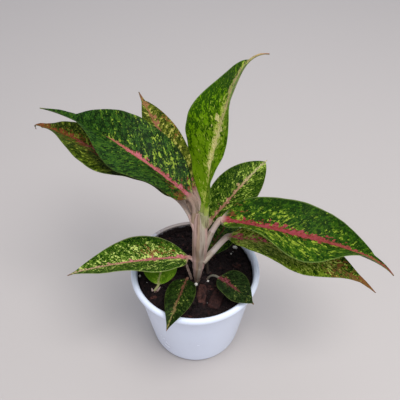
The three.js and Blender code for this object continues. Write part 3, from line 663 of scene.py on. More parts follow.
def cellsOf(place, size, shift):
    # a mosaic of cells about size mm across: three random numbers, the same all over one cell
    at = stretched(place, (1 / size, 1 / size, 1), (shift, 2.3 * shift, 0))
    cells = addNode("TexVoronoi", {"Vector": at, "Scale": 1.0})
    return addNode("SeparateColor", {0: cells.outputs["Color"]}).outputs


def leafMaterial(name, leaf):
    look = leaf["look"]
    material, tree, skin = newMaterial(name + "_skin")
    smooth, shares = valuesOf(tree, "veinPlace"), valuesOf(tree, "bladeShare")
    along, across, outward = partsOf(shares)
    blush, more, bright = partsOf(valuesOf(tree, "mood"))
    away = mathOf("ABSOLUTE", across)
    lower = mathOf("SUBTRACT", 1.0, valuesOf(tree, "upper", "Fac"))
    place = unevenPlace(valuesOf(tree, "cellPlace"))
    patches = cellsOf(place, look["fleck"] * mottle["patch"], 1)
    flecks = cellsOf(place, look["fleck"], 5)
    dots = cellsOf(place, look["fleck"] * mottle["dot"], 9)
    clusters = lumpsOf(place, look["fleck"] * mottle["cluster"], 13)

    # three greens, then specks, then blooms where the random numbers of the three mosaics add up highest
    part = mottle["ground"]
    ground = weighted((flecks[1], part["fleck"]), (patches[1], part["patch"]), (bright, part["spots"]),
                      (dots[1], part["dot"]))
    part = mottle["level"]
    trails = noiseOf(smooth, mottle["trails"], shift=mottle["trailShift"])
    level = weighted((flecks[0], part["fleck"]), (patches[0], part["patch"]), (dots[0], part["dot"]),
                     (clusters, part["cluster"] * look["patchy"]), (more, part["spots"]),
                     (rampOf(away, *mottle["nearRib"]), look["nearRib"]),
                     (rampOf(outward, 0.5, 1.0), -look["nearRib"]),
                     (rampOf(trails, 0.4, 0.75), look["trails"]))
    # a cell is a speck where its level is above this line, which makes up for the clusters and trails
    line = 0.5 + 0.25 * look["patchy"] + 0.35 * look["trails"] + 0.44 * (0.5 - look["specks"])
    speck = mixColour(times(dots[2], 0.5), look["speck"], look["bloom"])
    reddish = weighted((blush, 1.0), (patches[2], 0.5), (flecks[2], 0.5))
    vein = times(partsOf(smooth)[0], blade["usualWidth"] / (blade["veinGap"] * leaf["width"]))
    vein = mathOf("ABSOLUTE", mathOf("SUBTRACT", mathOf("FRACT", vein), 0.5))
    onVein = rampOf(vein, *mottle["veinWithin"])
    colour = layered(
        look["dark"],
        (rampOf(ground, *mottle["greenFrom"]), look["green"]),
        (rampOf(ground, *mottle["paleFrom"]), look["speck"]),
        (rampOf(dots[1], *mottle["fineFrom"], look["fine"]), look["speck"]),
        (rampOf(level, line - 0.015, line + 0.015), speck),
        (rampOf(level, line + 0.09, line + 0.12), look["bloom"]),
        (rampOf(reddish, *mottle["blushFrom"]), look["blush"]),
        (onVein, look["dark"]),
        (rampOf(outward, *mottle["marginFrom"], look["edge"]), look["margin"]))

    # the coloured midrib tapers to a point; whole cells beside it take its colour or keep their own
    taper = mathOf("MULTIPLY_ADD", times(along, along), -0.65, 1.0)
    taper = times(taper, rampOf(along, look["ribTo"] + 0.1, look["ribTo"] - 0.15),
                  rampOf(along, look["ribFrom"] - 0.1, look["ribFrom"] + 0.1))
    reach = times(taper, look["ribWide"] / 2)
    burst = rampOf(patches[2], 0.72, 0.95, 2.2)
    ragged = weighted((flecks[2], 1.6), (burst, 1.0), start=-0.8)
    ragged = times(ragged, taper, look["ragged"])
    distance = weighted((reach, -1.0), (ragged, -1.0), start=away)
    middle = times(rampOf(distance, *mottle["coreWithin"]), rampOf(along, 0.75, 0.4),
                   rampOf(flecks[0], 0.25, 0.6))
    rib = mixColour(rampOf(along, *mottle["ribEndFrom"]), look["rib"], look["ribEnd"])
    dusk = mixColour(1.0, rib, mottle["dusk"], "MULTIPLY")
    rib = layered(rib, (rampOf(dots[1], *mottle["duskFrom"]), dusk), (middle, look["core"]))
    onRib = times(rampOf(distance, *mottle["ribEdge"]), rampOf(reach, 0.05, 0.4))
    colour = layered(colour, (onRib, rib), (rampOf(along, look["tipAt"], 1.0), look["tip"]))

    # the underside is paler and duller, the stalk has lines along it
    lines = noiseOf(shares, mottle["lines"], 3.0, 0.6)
    stalk = mixColour(rampOf(along, *mottle["stalkEndFrom"]), look["stalk"], look["stalkEnd"])
    stalk = mixColour(rampOf(lines, *mottle["lineFrom"]), stalk, mottle["stalkLine"])
    colour = layered(colour, (times(lower, mottle["underShare"]), mottle["under"]),
                     (rampOf(along, *mottle["bladeFrom"]), stalk))
    grain = lumpsOf(smooth, 1.2, 21)
    height = weighted((onVein, -1.5), (grain, 0.5), start=noiseOf(smooth, mottle["veins"]))
    rough = weighted((grain, 0.16), (lower, 0.15), start=look["rough"] - 0.06)
    finishSkin(skin, colour, rough, height, 0.3, 0.4)
    skin.inputs["Specular IOR Level"].default_value = look["gloss"]
    return material


for name, leaf in leaves.items():
    top, under, veins, cells, shares = leafSurface(leaf)
    shape, material = closedSheet(top, under), leafMaterial(name, leaf)
    piece = makeMesh(name + "_blade", shape, material, [name])
    values = {"veinPlace": veins, "cellPlace": cells, "bladeShare": shares, "mood": moodOf(leaf, shares)}
    for label, face in values.items():
        setValues(piece, label, np.concatenate([face, face]))
    setValues(piece, "upper", np.repeat([1.0, 0.0], top[..., 0].size))
print("leaves:", len(leaves))


# the stem: centre line and radius in mm, as in the part's source
stem = {
    "stops": [(0, -11, 50, 3.5), (0.6, -11, 80, 3.4), (1.6, -11, 95, 2.9), (2.2, -9.8, 107, 4.1),
              (3.2, -7.8, 121, 5.8), (4.3, -5.4, 138, 6.9), (4.6, -2.4, 154, 6.9), (4.6, 1.6, 168, 6.4),
              (4.8, 4.4, 178, 4.5)],
    "around": 96, "rows": 220,
    # ribs along it: height, how many, how far they wind, and a turn in radians; between these heights, in
    # mm over the ground, they and the margins come in above the soil
    "ribs": [(0.12, 31, 0.04, 0), (0.1, 13, 0, 1)], "reliefFrom": (96, 104),
    # margins of the sheaths that wrap it: height range, angle at both ends in degrees, and step in mm
    "edges": [(100, 150, -80, -110, 0.5), (112, 170, -40, -75, 0.6), (118, 160, -150, -120, 0.5),
              (105, 165, 60, 90, 0.6)],
    "rings": [(104, 0.25), (116, 0.3), (127, 0.2)],
    "cream": (0.37, 0.31, 0.25), "pink": (0.48, 0.32, 0.28), "tan": (0.35, 0.245, 0.165),
    "green": (0.4, 0.43, 0.16), "dark": (0.14, 0.075, 0.05), "creaseShade": (0.17, 0.08, 0.06),
    "brownAndShade": (0.045, 0.028, 0.018),
    # tones from left to right after pink: between which sides, -1 to 1, each one takes over
    "tones": [(-0.5, -0.36, "tan"), (-0.08, 0.06, "cream"), (0.55, 0.7, "pink")],
    "streaks": (1.6, 0.06, 1), "streakFrom": (0.5, 0.68, 0.75), "blotches": (0.3, 0.09, 1),
    # the green: heights in mm and sides; the crease's painted shade: its side, how far it reaches and its
    # heights
    "greenHigh": (160, 180), "greenSide": (0.1, 0.3),
    "creaseSide": -0.4, "creaseReach": (0.12, 0.04), "creaseHigh": (154, 162, 0.7),
    # how fresh and how lit the skin is at each height in mm: where it is low it turns dark brown, partly
    # real browning near the soil and partly painted shade, as in the dip near 135 mm below a sheath's end
    "freshAndLit": [(50, 0.2), (101, 0.3), (108, 0.6), (116, 0.95), (126, 1), (135, 0.62), (142, 0.85),
              (155, 1), (180, 1)],
    # each petiole's sheath takes its tone from this side and this height of the stem, and this share of
    # freshness and light; less of it is painted as brown shade
    "collars": {"leaf_1": (-0.3, 145), "leaf_2": (-0.8, 145), "leaf_3": (-0.2, 145), "leaf_4": (0.4, 172),
                "leaf_5": (0.3, 145), "leaf_6": (0.35, 145), "leaf_7": (0.35, 145), "leaf_8": (0.9, 145)},
    "collarFreshAndLit": 0.95,
}


def stemSurface():
    # rings about the curve through the stops; fine ribs, low steps at the sheaths' margins, faint rings
    path = curveThrough(stem["stops"], np.linspace(0, 1, stem["rows"]))
    centre, radius = path[:, :3], path[:, 3:]
    direction = unit(np.gradient(centre, axis=0))
    across = unit(np.array([1.0, 0, 0]) - direction * direction[:, :1])
    ahead = np.cross(direction, across)
    angle = anglesRound(stem["around"])
    height = centre[:, 2:3]
    bulge = 0
    for amount, count, wind, turn in stem["ribs"]:
        bulge = bulge + amount * np.sin(angle * count + wind * height + turn)
    for low, high, first, last, step in stem["edges"]:
        at = np.radians(first + (last - first) * (height - low) / (high - low))
        beyond = (angle - at) % (2 * np.pi)
        span = smoothStep(low, low + 8, height) * (1 - smoothStep(high - 8, high, height))
        bulge = bulge + step * span * np.exp(-beyond / 0.9) * smoothStep(0, 0.12, beyond)
    for place, amount in stem["rings"]:
        bulge = bulge + amount * np.exp(-(((height - place) / 0.9) ** 2))
    reach = (radius + bulge * smoothStep(*stem["reliefFrom"], height))[..., None]
    ring = across[:, None] * np.cos(angle)[:, None] + ahead[:, None] * np.sin(angle)[:, None]
    place = together(angle * 5, height, 0)
    zone = together(np.cos(angle), height, np.interp(height, *np.transpose(stem["freshAndLit"])))
    return centre[:, None] + ring * reach, place, zone


def stemMaterial():
    material, tree, skin = newMaterial("stem_skin")
    place = valuesOf(tree, "sheathPlace")
    leftRight, high, freshAndLit = partsOf(valuesOf(tree, "sheathZone"))
    streaks = noiseOf(place, stem["streaks"], 3.0, 0.6)
    blotches = noiseOf(place, stem["blotches"])
    side = weighted((mathOf("SUBTRACT", blotches, 0.5), 0.5), start=leftRight)
    # green on the right below the young leaf, a dark line of painted shade in the crease where two
    # sheaths meet, and dark brown near the soil that is partly real browning and partly painted shade
    greenish = times(rampOf(high, *stem["greenHigh"]), rampOf(side, *stem["greenSide"]))
    beside = mathOf("ABSOLUTE", mathOf("SUBTRACT", leftRight, stem["creaseSide"]))
    creaseShade = times(rampOf(beside, *stem["creaseReach"]), rampOf(high, *stem["creaseHigh"]))
    # dark brown where the skin is less fresh and lit: partly real browning near the soil, partly painted
    # shade
    brownAndShade = weighted((freshAndLit, -1.0), (streaks, 0.4), start=0.8)
    colour = layered(
        stem["pink"],
        *((rampOf(side, low, high), stem[tone]) for low, high, tone in stem["tones"]),
        (greenish, stem["green"]),
        (rampOf(streaks, *stem["streakFrom"]), stem["dark"]),
        (creaseShade, stem["creaseShade"]),
        (mathOf("MAXIMUM", brownAndShade, 0.0), stem["brownAndShade"]))
    rough = weighted((streaks, 0.2), start=0.36)
    finishSkin(skin, colour, rough, streaks, 0.5, 0.5)
    return material


stemPoints, place, zone = stemSurface()
allPoints, allFaces = closedTube(stemPoints)
allPlaces, allZones = (np.concatenate([v.reshape(-1, 3), v[0, :1], v[-1, :1]]) for v in (place, zone))
for name, (side, height) in stem["collars"].items():
    top, under, _, _, shares = leafSurface(leaves[name], True)
    points, faces = closedSheet(top, under)
    allFaces += (faces + len(allPoints)).tolist()
    allPoints = np.concatenate([allPoints, points])
    place = together(shares[..., 1] * 2, shares[..., 0] * 60 + 140, leaves[name]["seed"]).reshape(-1, 3)
    allPlaces = np.concatenate([allPlaces, place, place])
    allZones = np.concatenate([allZones, np.tile((side, height, stem["collarFreshAndLit"]), (len(points), 1))])
stemPiece = makeMesh("stem_sheaths", (allPoints, allFaces), stemMaterial(), ["stem"])
setValues(stemPiece, "sheathPlace", allPlaces)
setValues(stemPiece, "sheathZone", allZones)
print("stem")


# the pot: outline in mm as radius and height, with the radius that rounds each corner; the roll of the
# rim is half an ellipse over the top, between the rim's and the lip's radius
pot = {
    "outside": [(0, 0, 0), (29, 0, 0.5), (29.5, 2, 0.5), (37.5, 2, 0.5), (38, 0, 0.5), (44, 0, 1),
                (46.8, 3, 2), (48, 7.5, 4), (55, 56, 20), (60, 95, 1), (64, 97, 1)],
    "inside": [(58, 95, 3), (53, 56, 20), (46, 6, 2), (44, 4.5, 1), (0, 4.5, 0)],
    "rim": 65, "lip": 59, "top": 105, "roll": 4, "around": 192,
    "holes": 6, "holeRadius": 3.5, "holeRing": 33.5, "floor": 4,
    # the middle of the wall as height and radius: nearer the axis and above the floor is the inside
    "wall": [(6, 47), (56, 54), (95, 59), (101, 61), (105, 59.5)],
    # the rubbed and soiled colours are soil colours that also paint shade on the back rim and inside the
    # pot
    "white": (0.77, 0.84, 1.0), "shade": (0.68, 0.72, 0.85), "rubbedAndShade": (0.24, 0.165, 0.12),
    "soiledAndShade": (0.02, 0.014, 0.014),
    # how many smudges and how much dust there is in a metre
    "smudges": 38.0, "dust": 240.0,
    # soil rubbed into the rim at the back left, with painted shade there: a place, how far it reaches and
    # above which height, in m;
    # soiled and shaded: the inside is painted dark, partly soil and partly shade, below these heights,
    # and by this much higher within this reach of it
    "rubShadePlace": (-0.02, 0.058, 0.104), "rubShadeReach": (0.046, 0.016), "rubShadeAbove": (0.1015, 0.1035),
    "soiledShadeBelow": (0.0975, 0.093), "soiledShadeHigher": 0.006, "soiledShadeReach": (0.075, 0.045),
}


def roundedOutline(corners, steps=6):
    # each corner becomes a short quadratic curve between points at its radius before and after it
    made = [np.array(corners[0][:2])[None]]
    for before, (x, y, radius), after in zip(corners, corners[1:], corners[2:]):
        corner = np.array([x, y])
        toBefore, toAfter = np.subtract(before[:2], corner), np.subtract(after[:2], corner)
        reach = [min(radius, 0.45 * np.linalg.norm(v)) for v in (toBefore, toAfter)]
        s = np.linspace(0, 1, steps)[:, None]
        first, last = corner + unit(toBefore) * reach[0], corner + unit(toAfter) * reach[1]
        made.append(first * (1 - s) ** 2 + 2 * corner * s * (1 - s) + last * s**2)
    made.append(np.array(corners[-1][:2])[None])
    return np.concatenate(made)


def potOutline():
    # outside, then the roll as cosine and sine of an angle from 0 to 180 degrees, then inside
    angle = np.linspace(0, np.pi, 25)
    middle, half = (pot["rim"] + pot["lip"]) / 2, (pot["rim"] - pot["lip"]) / 2
    roll = together(middle + half * np.cos(angle), pot["top"] - pot["roll"] * (1 - np.sin(angle)))
    outside = roundedOutline(pot["outside"] + [(*roll[0], 0)])
    inside = roundedOutline([(*roll[-1], 0)] + pot["inside"])
    return np.concatenate([outside[:-1], roll, inside[1:]])


def turned(outline, around):
    # an outline of radius and height carried round the upright axis; its two ends lie on the axis
    angle = anglesRound(around)
    radius, height = outline[1:-1, 0, None], outline[1:-1, 1, None]
    return closedTube(together(radius * np.cos(angle), radius * np.sin(angle), height))


def drilled(piece, cutters):
    # each cutter is taken out of the piece by a Boolean, and the result is applied
    for cutter in cutters:
        cut = piece.modifiers.new("hole", "BOOLEAN")
        cut.object, cut.solver = cutter, "EXACT"
    finished = piece.evaluated_get(bpy.context.evaluated_depsgraph_get())
    finished = bpy.data.meshes.new_from_object(finished)
    piece.modifiers.clear()
    piece.data = finished
    for cutter in cutters:
        bpy.data.objects.remove(cutter)
    finished.polygons.foreach_set("use_smooth", np.ones(len(finished.polygons), bool))


def potMaterial():
    material, tree, skin = newMaterial("pot_plastic_white")
    place = objectPlace(tree)
    high = partsOf(place)[2]
    smudges, dust = (noiseOf(place, pot[key], 3.0, 0.6) for key in ("smudges", "dust"))
    inside = valuesOf(tree, "inner", "Fac")
    # the soil and painted shade on the rim fade with the distance from its place, and the painted dark
    # inside, partly soil and partly shade, reaches higher there
    aside = addNode("VectorMath", {0: place, 1: pot["rubShadePlace"]}, operation="DISTANCE")
    aside = weighted((mathOf("SUBTRACT", dust, 0.5), 0.05), start=aside.outputs["Value"])
    rubbedAndShade = times(rampOf(aside, *pot["rubShadeReach"], 0.85), rampOf(high, *pot["rubShadeAbove"]))
    nearby = rampOf(aside, *pot["soiledShadeReach"])
    low = weighted((dust, -0.006), (nearby, -pot["soiledShadeHigher"]), start=high)
    soiledAndShade = times(inside, rampOf(low, *pot["soiledShadeBelow"]))
    colour = layered(pot["white"], (rampOf(smudges, 0.4, 0.8, 0.2), pot["shade"]),
                     (rubbedAndShade, pot["rubbedAndShade"]), (soiledAndShade, pot["soiledAndShade"]))
    rough = weighted((smudges, 0.05), start=0.24)
    finishSkin(skin, colour, rough, smudges, 0.015, 1)
    return material


potPiece = makeMesh("pot_shell", turned(potOutline(), pot["around"]), replaced=["pot"])
cutters = []
for angle in anglesRound(pot["holes"]) + np.pi / pot["holes"]:
    radius, low, high = pot["holeRadius"], -5.0, 12.0  # from below the foot to above the floor
    points, faces = turned(np.array([(0, low), (radius, low), (radius, high), (0, high)]), 32)
    points = points + pot["holeRing"] * np.array([np.cos(angle), np.sin(angle), 0])
    mesh = bpy.data.meshes.new("cutter")
    mesh.from_pydata((points * mm).tolist(), [], faces)
    cutters.append(bpy.data.objects.new("cutter", mesh))
    bpy.context.scene.collection.objects.link(cutters[-1])
bpy.context.view_layer.update()
drilled(potPiece, cutters)
points = np.zeros(len(potPiece.data.vertices) * 3)
potPiece.data.vertices.foreach_get("co", points)
x, y, z = points.reshape(-1, 3).T / mm
inner = (np.hypot(x, y) < np.interp(z, *np.transpose(pot["wall"]))) & (z > pot["floor"])
setValues(potPiece, "inner", inner)
potPiece.data.materials.clear()
potPiece.data.materials.append(potMaterial())
print("pot")


# the soil: a round solid with a lumpy top, and loose crumbs, bark, perlite and fibres on it; in mm
soil = {
    "level": 96, "relief": 1.3, "slope": 0.03, "lip": 59, "edge": 57.55, "around": 200, "rings": 110,
    # the buried side as radius and height, from the underside up
    "wall": [(43.3, 4.8), (45.5, 7), (52.5, 56), (57.3, 93.5)],
    # lumps on the waves: height, size and seed of each sort, and where they fade out towards the rim
    "lumps": [(0.9, 5.3, 21), (0.7, 2.6, 22), (0.45, 1.2, 23)], "calm": (53, 57.5),
    "dark": (0.005, 0.0035, 0.004), "brown": (0.022, 0.011, 0.011), "seed": 11,
}
# loose pieces: how many, within which radius, fineness, lean in radians, unevenness and seed of a shape.
# size: between which values each piece's own lies. shape, stretch: its proportions, and how far each of
# them varies. lift: how high it lies, for a flake in mm and for a grain as a share of its radius.
crumbs = {"count": 2600, "reach": 56.5, "fine": 1, "lean": 1.5, "uneven": 0.25, "seed": 31,
          "size": (0.35, 1.5), "stretch": (0.7, 1.3)}
flakes = {"count": 90, "reach": 54, "fine": 2, "lean": 0.5, "uneven": 0.16, "seed": 32,
          "size": (0.6, 1), "stretch": (0.6, 1.4), "shape": (3.6, 1.5, 0.6), "lift": 0.4,
          "dark": (0.016, 0.006, 0.006), "red": (0.07, 0.024, 0.018)}
grains = {
    "count": 26, "reach": 55, "fine": 3, "lean": 1.5, "uneven": 0.05, "seed": 33,
    "size": (0.25, 0.5), "stretch": (0.8, 1.2), "shape": (1, 1, 0.85), "lift": 0.5,
    # the large ones: place and radius
    "large": [(0.8, -15.7, 2.1), (12.7, -12, 1.2), (7.7, -18.2, 0.9), (9.4, -18.6, 0.7),
              (11.5, -37.1, 0.8), (-55.8, -7, 1.1), (42.1, 32.8, 2.3), (37.4, 23.1, 1.1),
              (-20, 30, 1.0), (15, 45, 1.2), (-38, 14, 0.8)],
    "grey": (0.5, 0.47, 0.44), "white": (0.85, 0.83, 0.8),
}
rootlets = {
    "count": 34, "reach": 50, "rows": 14, "around": 6,
    "long": (4, 12), "aside": (-3, 3), "arch": (0.2, 1.6), "thick": (0.16, 0.32),
    # those beside the stem's foot: start and direction in radians
    "foot": [(6, -8, 96, 0.4), (7, -12, 96, -0.3), (9, -15, 96, 0.9), (7, -5, 96, 1.2),
             (10, -20, 96, -0.7)],
    "dark": (0.03, 0.022, 0.024), "light": (0.12, 0.09, 0.085),
}


def soilHeight(x, y):
    # two crossing waves that die away towards the rim, as in the part's source
    broad = np.sin(x / 9 + 1) * np.cos(y / 8 + 0.5)
    fine = 0.6 * np.sin(x / 4.3 + y / 5.1 + 2)
    calm = 1 - (np.hypot(x, y) / soil["lip"]) ** 4
    return soil["level"] - soil["slope"] * x + soil["relief"] * (broad + fine) * calm


def lumpySoil(x, y):
    # the soil's waves plus three sizes of lumps
    place = together(x, y, 0 * x)
    lumps = sum(height * softNoise(place, size, seed) for height, size, seed in soil["lumps"])
    return soilHeight(x, y) + lumps * (1 - smoothStep(*soil["calm"], np.hypot(x, y)))


def soilSurface():
    # rings from the centre of the underside up the wall to the lumpy top, closed at both poles
    wall = np.array(soil["wall"])
    top = soil["edge"] * np.linspace(1, 0.012, soil["rings"])[1:]
    radius = np.concatenate([wall[:, 0], top])[:, None]
    angle = anglesRound(soil["around"])
    x, y = radius * np.cos(angle), radius * np.sin(angle)
    z = lumpySoil(x, y)
    z[:len(wall)] = wall[:, 1:]
    return together(x, y, z)


def spread(random, kind):
    # places spread evenly over a disc, by the square root of a random share, on the lumpy soil
    radius = kind["reach"] * np.sqrt(random.uniform(0, 1, kind["count"]))
    angle = random.uniform(0, 2 * np.pi, kind["count"])
    x, y = radius * np.cos(angle), radius * np.sin(angle)
    return together(x, y, lumpySoil(x, y))


def smallBall(fine):
    # the points and triangles of a ball
    mesh, made = bpy.data.meshes.new("ball"), bmesh.new()
    bmesh.ops.create_icosphere(made, subdivisions=fine, radius=1)
    made.to_mesh(mesh)
    made.free()
    points, faces = np.zeros(len(mesh.vertices) * 3), np.zeros(len(mesh.loops), np.int32)
    mesh.vertices.foreach_get("co", points)
    mesh.loops.foreach_get("vertex_index", faces)
    bpy.data.meshes.remove(mesh)
    return points.reshape(-1, 3), faces.reshape(-1, 3)


def scattered(random, kind, places, sizes):
    # balls, each stretched by its own sizes, made uneven, turned and leaned, and put at its place
    turns = turnAndLean(random.uniform(0, 2 * np.pi, len(places)),
                        random.uniform(-kind["lean"], kind["lean"], len(places)))
    points, faces = smallBall(kind["fine"])
    own = np.random.default_rng(kind["seed"])
    uneven = 1 + kind["uneven"] * own.uniform(-1, 1, (len(places), len(points), 1))
    body = points[None] * uneven * sizes[:, None]
    body = np.einsum("nij,nkj->nki", turns, body) + places[:, None]
    shift = np.arange(len(places))[:, None, None] * len(points)
    return body.reshape(-1, 3), (faces[None] + shift).reshape(-1, 3)


def crumblyMaterial(name, dark, light, scale, rough=0.85):
    # two sizes of noise, mixed for the colour, the finer one for the relief
    material, tree, skin = newMaterial(name)
    place = objectPlace(tree)
    broad, fine = noiseOf(place, scale, 3.0, 0.65), noiseOf(place, scale * 5, 3.0, 0.65)
    mixed = weighted((broad, 0.6), (fine, 0.4))
    colour = mixColour(rampOf(mixed, 0.4, 0.66), dark, light)
    finishSkin(skin, colour, weighted((fine, -0.3), start=rough + 0.1), fine, 0.7, 0.6)
    skin.inputs["Specular IOR Level"].default_value = 0.15
    return material


material = crumblyMaterial("soil_crumbly", soil["dark"], soil["brown"], 300.0)
makeMesh("soil_bed", closedTube(soilSurface()), material, ["soil"])

random = np.random.default_rng(soil["seed"])
count = crumbs["count"]
places = spread(random, crumbs)
sizes = random.uniform(*crumbs["size"], (count, 1)) ** 1.5  # most of them small
sizes = sizes * random.uniform(*crumbs["stretch"], (count, 3))
makeMesh("soil_crumbs", scattered(random, crumbs, places, sizes), material, flat=True)

count = flakes["count"]
places = spread(random, flakes) + up * flakes["lift"]
sizes = random.uniform(*flakes["size"], (count, 1)) * flakes["shape"]
sizes = sizes * random.uniform(*flakes["stretch"], (count, 3))
material = crumblyMaterial("bark_rough", flakes["dark"], flakes["red"], 160.0, 0.75)
makeMesh("bark_flakes", scattered(random, flakes, places, sizes), material, flat=True)

x, y, reach = np.transpose(grains["large"])
places = np.concatenate([together(x, y, lumpySoil(x, y)), spread(random, grains)])
reach = np.concatenate([reach, random.uniform(*grains["size"], grains["count"])])[:, None]
sizes = reach * random.uniform(*grains["stretch"], (len(places), 3)) * grains["shape"]
places[:, 2] += grains["lift"] * reach[:, 0]
material = crumblyMaterial("perlite_white", grains["grey"], grains["white"], 500.0, 0.8)
makeMesh("perlite_grains", scattered(random, grains, places, sizes), material)

# rootlets: each a thin tube from its start along a level direction, bent aside and arched over the soil
foot = np.array(rootlets["foot"])
starts = np.concatenate([spread(random, rootlets), foot[:, :3]])
turns = np.concatenate([random.uniform(0, 2 * np.pi, rootlets["count"]), foot[:, 3]])
allPoints, allFaces = np.zeros((0, 3)), []
u, angle = np.linspace(0, 1, rootlets["rows"])[:, None], anglesRound(rootlets["around"])[:, None]
for start, turn in zip(starts, turns):
    reach, aside, arch = (random.uniform(*rootlets[key]) for key in ("long", "aside", "arch"))
    bow = 4 * u * (1 - u)
    x = start[0] + reach * u * np.cos(turn) - aside * bow * np.sin(turn)
    y = start[1] + reach * u * np.sin(turn) + aside * bow * np.cos(turn)
    centre = np.concatenate([x, y, lumpySoil(x, y) + 0.1 + arch * bow], -1)
    ring = np.array([-np.sin(turn), np.cos(turn), 0]) * np.cos(angle) + up * np.sin(angle)
    thick = random.uniform(*rootlets["thick"]) * (1 - 0.5 * u)
    points, faces = closedTube(centre[:, None] - ring[None] * thick[:, None])
    allFaces += [[corner + len(allPoints) for corner in face] for face in faces]
    allPoints = np.concatenate([allPoints, points])
material = crumblyMaterial("rootlet_skin", rootlets["dark"], rootlets["light"], 200.0, 0.7)
makeMesh("rootlets", (allPoints, allFaces), material)
print("soil")


# thin dry strips: centre line and width in mm, the way the face looks, and colours
strips = {
    "dry_sheath": dict(
        stops=[(-3.2, -9.8, 95, 2.4), (-5.8, -10.5, 109, 2.5), (-7.8, -11, 119, 2.2),
               (-8.4, -11.4, 124, 1.2)],
        face=(0.1, -0.9, 0.4), dark=(0.2, 0.14, 0.11), light=(0.42, 0.31, 0.26)),
    "petiole_wing": dict(
        stops=[(0, 2, 168, 3), (-2.1, 5, 177.7, 4), (-5.5, 8.6, 185, 4.5), (-8, 12.5, 189.5, 2.5)],
        face=(-0.3, -0.8, 0.5), dark=(0.16, 0.1, 0.07), light=(0.34, 0.25, 0.19)),
    "bract_left": dict(
        stops=[(-39.9, -26.6, 96, 2), (-41.5, -25.4, 99.5, 2.2), (-42.4, -24.4, 102, 0.8)],
        face=(-0.2, -0.8, 0.6), dark=(0.26, 0.18, 0.15), light=(0.5, 0.38, 0.34)),
    "bract_right": dict(
        stops=[(-39.3, -26.6, 96, 1.8), (-36.6, -24.6, 99.5, 2), (-34, -22.8, 102, 0.8)],
        face=(0.2, -0.8, 0.6), dark=(0.26, 0.18, 0.15), light=(0.5, 0.38, 0.34)),
}


def stripSurface(strip, thick=0.35, hollow=0.35):
    # a band across the curve through the stops, hollowed along its middle and thinner at its margins
    path = curveThrough(strip["stops"], np.linspace(0, 1, 40))
    centre, half = path[:, :3], path[:, 3:] / 2
    direction = unit(np.gradient(centre, axis=0))
    across = unit(np.cross(direction, unit(np.array(strip["face"]))))
    facing = np.cross(across, direction)[:, None]
    v = np.linspace(-1, 1, 11)
    middle = centre[:, None] + across[:, None] * (half * v)[..., None]
    middle = middle + facing * (hollow * half * (v * v - 0.5))[..., None]
    skin = facing * thick / 2 * np.sqrt(np.clip(1 - v**4, 0.02, 1))[None, :, None]
    return middle - skin, middle + skin  # in this order the faces point outwards


for name, strip in strips.items():
    material = crumblyMaterial(name + "_dry", strip["dark"], strip["light"], 300.0, 0.6)
    makeMesh(name, closedSheet(*stripSurface(strip)), material)
print("dry strips")


# the two large bark chips, as in the part's source
chips = {
    "bark_chip_1": dict(at=(6.5, -28, 96), size=(9, 22, 5), turn=-6, lean=7, seed=41,
                        tone=(0.085, 0.032, 0.025)),
    "bark_chip_2": dict(at=(21, -33, 95.5), size=(13, 24, 5), turn=-24, lean=-4, seed=42,
                        tone=(0.048, 0.017, 0.014)),
}
chipDark = (0.014, 0.005, 0.005)


def chipSurface(chip):
    # a flattened round-cornered block: powers of sine and cosine, then grooves along its length
    v = np.linspace(-np.pi / 2, np.pi / 2, 62)[1:-1, None]
    w = anglesRound(96)[None]

    def squared(value, power):
        return np.sign(value) * np.abs(value) ** power

    x = squared(np.cos(v), 0.35) * squared(np.cos(w), 0.5)
    y = squared(np.cos(v), 0.35) * squared(np.sin(w), 0.5)
    body = together(x, y, squared(np.sin(v), 0.6)) * np.array(chip["size"]) / 2
    body[..., 0] += 0.9 * np.sin(body[..., 1] / 6 + chip["seed"]) * y**2
    grooves = 0.5 * softNoise(body * (1, 0.12, 1), 1.3, chip["seed"])
    grooves = grooves + 0.4 * softNoise(body, 3.5, chip["seed"] + 1)
    body *= (1 + 0.09 * grooves)[..., None]
    body[..., 2] += 0.55 * grooves
    return body @ turnAndLean(np.radians(chip["turn"]), np.radians(chip["lean"])).T + chip["at"]


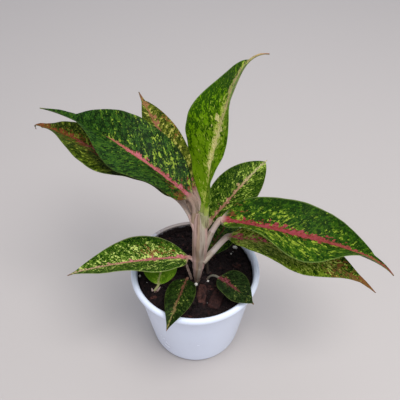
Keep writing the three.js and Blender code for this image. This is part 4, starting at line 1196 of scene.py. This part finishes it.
for name, chip in chips.items():
    material = crumblyMaterial(name + "_grain", chipDark, chip["tone"], 150.0, 0.7)
    makeMesh(name + "_rough", closedTube(chipSurface(chip)), material, [name])
print("bark chips")


# plain pale floor and soft studio light, in metres and watts
room = {"half": 4, "floor": (0.46, 0.428, 0.415), "rough": 0.6, "air": (0.9, 0.92, 1.0), "airLight": 0.6}
lamps = {
    "key": dict(place=(0.4, -0.45, 1.6), aim=(0, 0, 0.12), size=1.1, power=24, colour=(1, 0.985, 0.96)),
    "fill": dict(place=(-1.1, -0.7, 1.0), aim=(0, 0, 0.15), size=1.4, power=1.2, colour=(0.95, 0.97, 1)),
    "back": dict(place=(0.1, 1.0, 1.6), aim=(0, 0, 0.2), size=1.8, power=6, colour=(0.86, 0.93, 1)),
}
corners = [(x * room["half"], y * room["half"], 0) for x, y in ((-1, -1), (1, -1), (1, 1), (-1, 1))]
floorMesh = bpy.data.meshes.new("floor")
floorMesh.from_pydata(corners, [], [(0, 1, 2, 3)])
floor = bpy.data.objects.new("floor", floorMesh)
bpy.context.scene.collection.objects.link(floor)
floor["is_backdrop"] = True
floorMaterial, _, skin = newMaterial("floor_pale")
skin.inputs["Base Color"].default_value = (*room["floor"], 1)
skin.inputs["Roughness"].default_value = room["rough"]
floorMesh.materials.append(floorMaterial)
for name, lamp in lamps.items():
    light = bpy.data.lights.new(name, "AREA")
    light.shape, light.size = "DISK", lamp["size"]
    light.energy, light.color = lamp["power"], lamp["colour"]
    holder = bpy.data.objects.new(name, light)
    toward = unit(np.subtract(lamp["aim"], lamp["place"]))
    holder.location = lamp["place"]
    holder.rotation_euler = Vector(toward).to_track_quat("-Z", "Y").to_euler()
    bpy.context.scene.collection.objects.link(holder)
world = bpy.data.worlds.new("room")
bpy.context.scene.world = world
world.use_nodes = True
air = world.node_tree.nodes["Background"]
air.inputs[0].default_value = (*room["air"], 1)
air.inputs[1].default_value = room["airLight"]
bpy.context.scene.view_settings.view_transform = "Standard"

sizes = {"cad": [list(map(float, corner)) for corner in cadBox],
         "visual": [list(map(float, corner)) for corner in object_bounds()]}
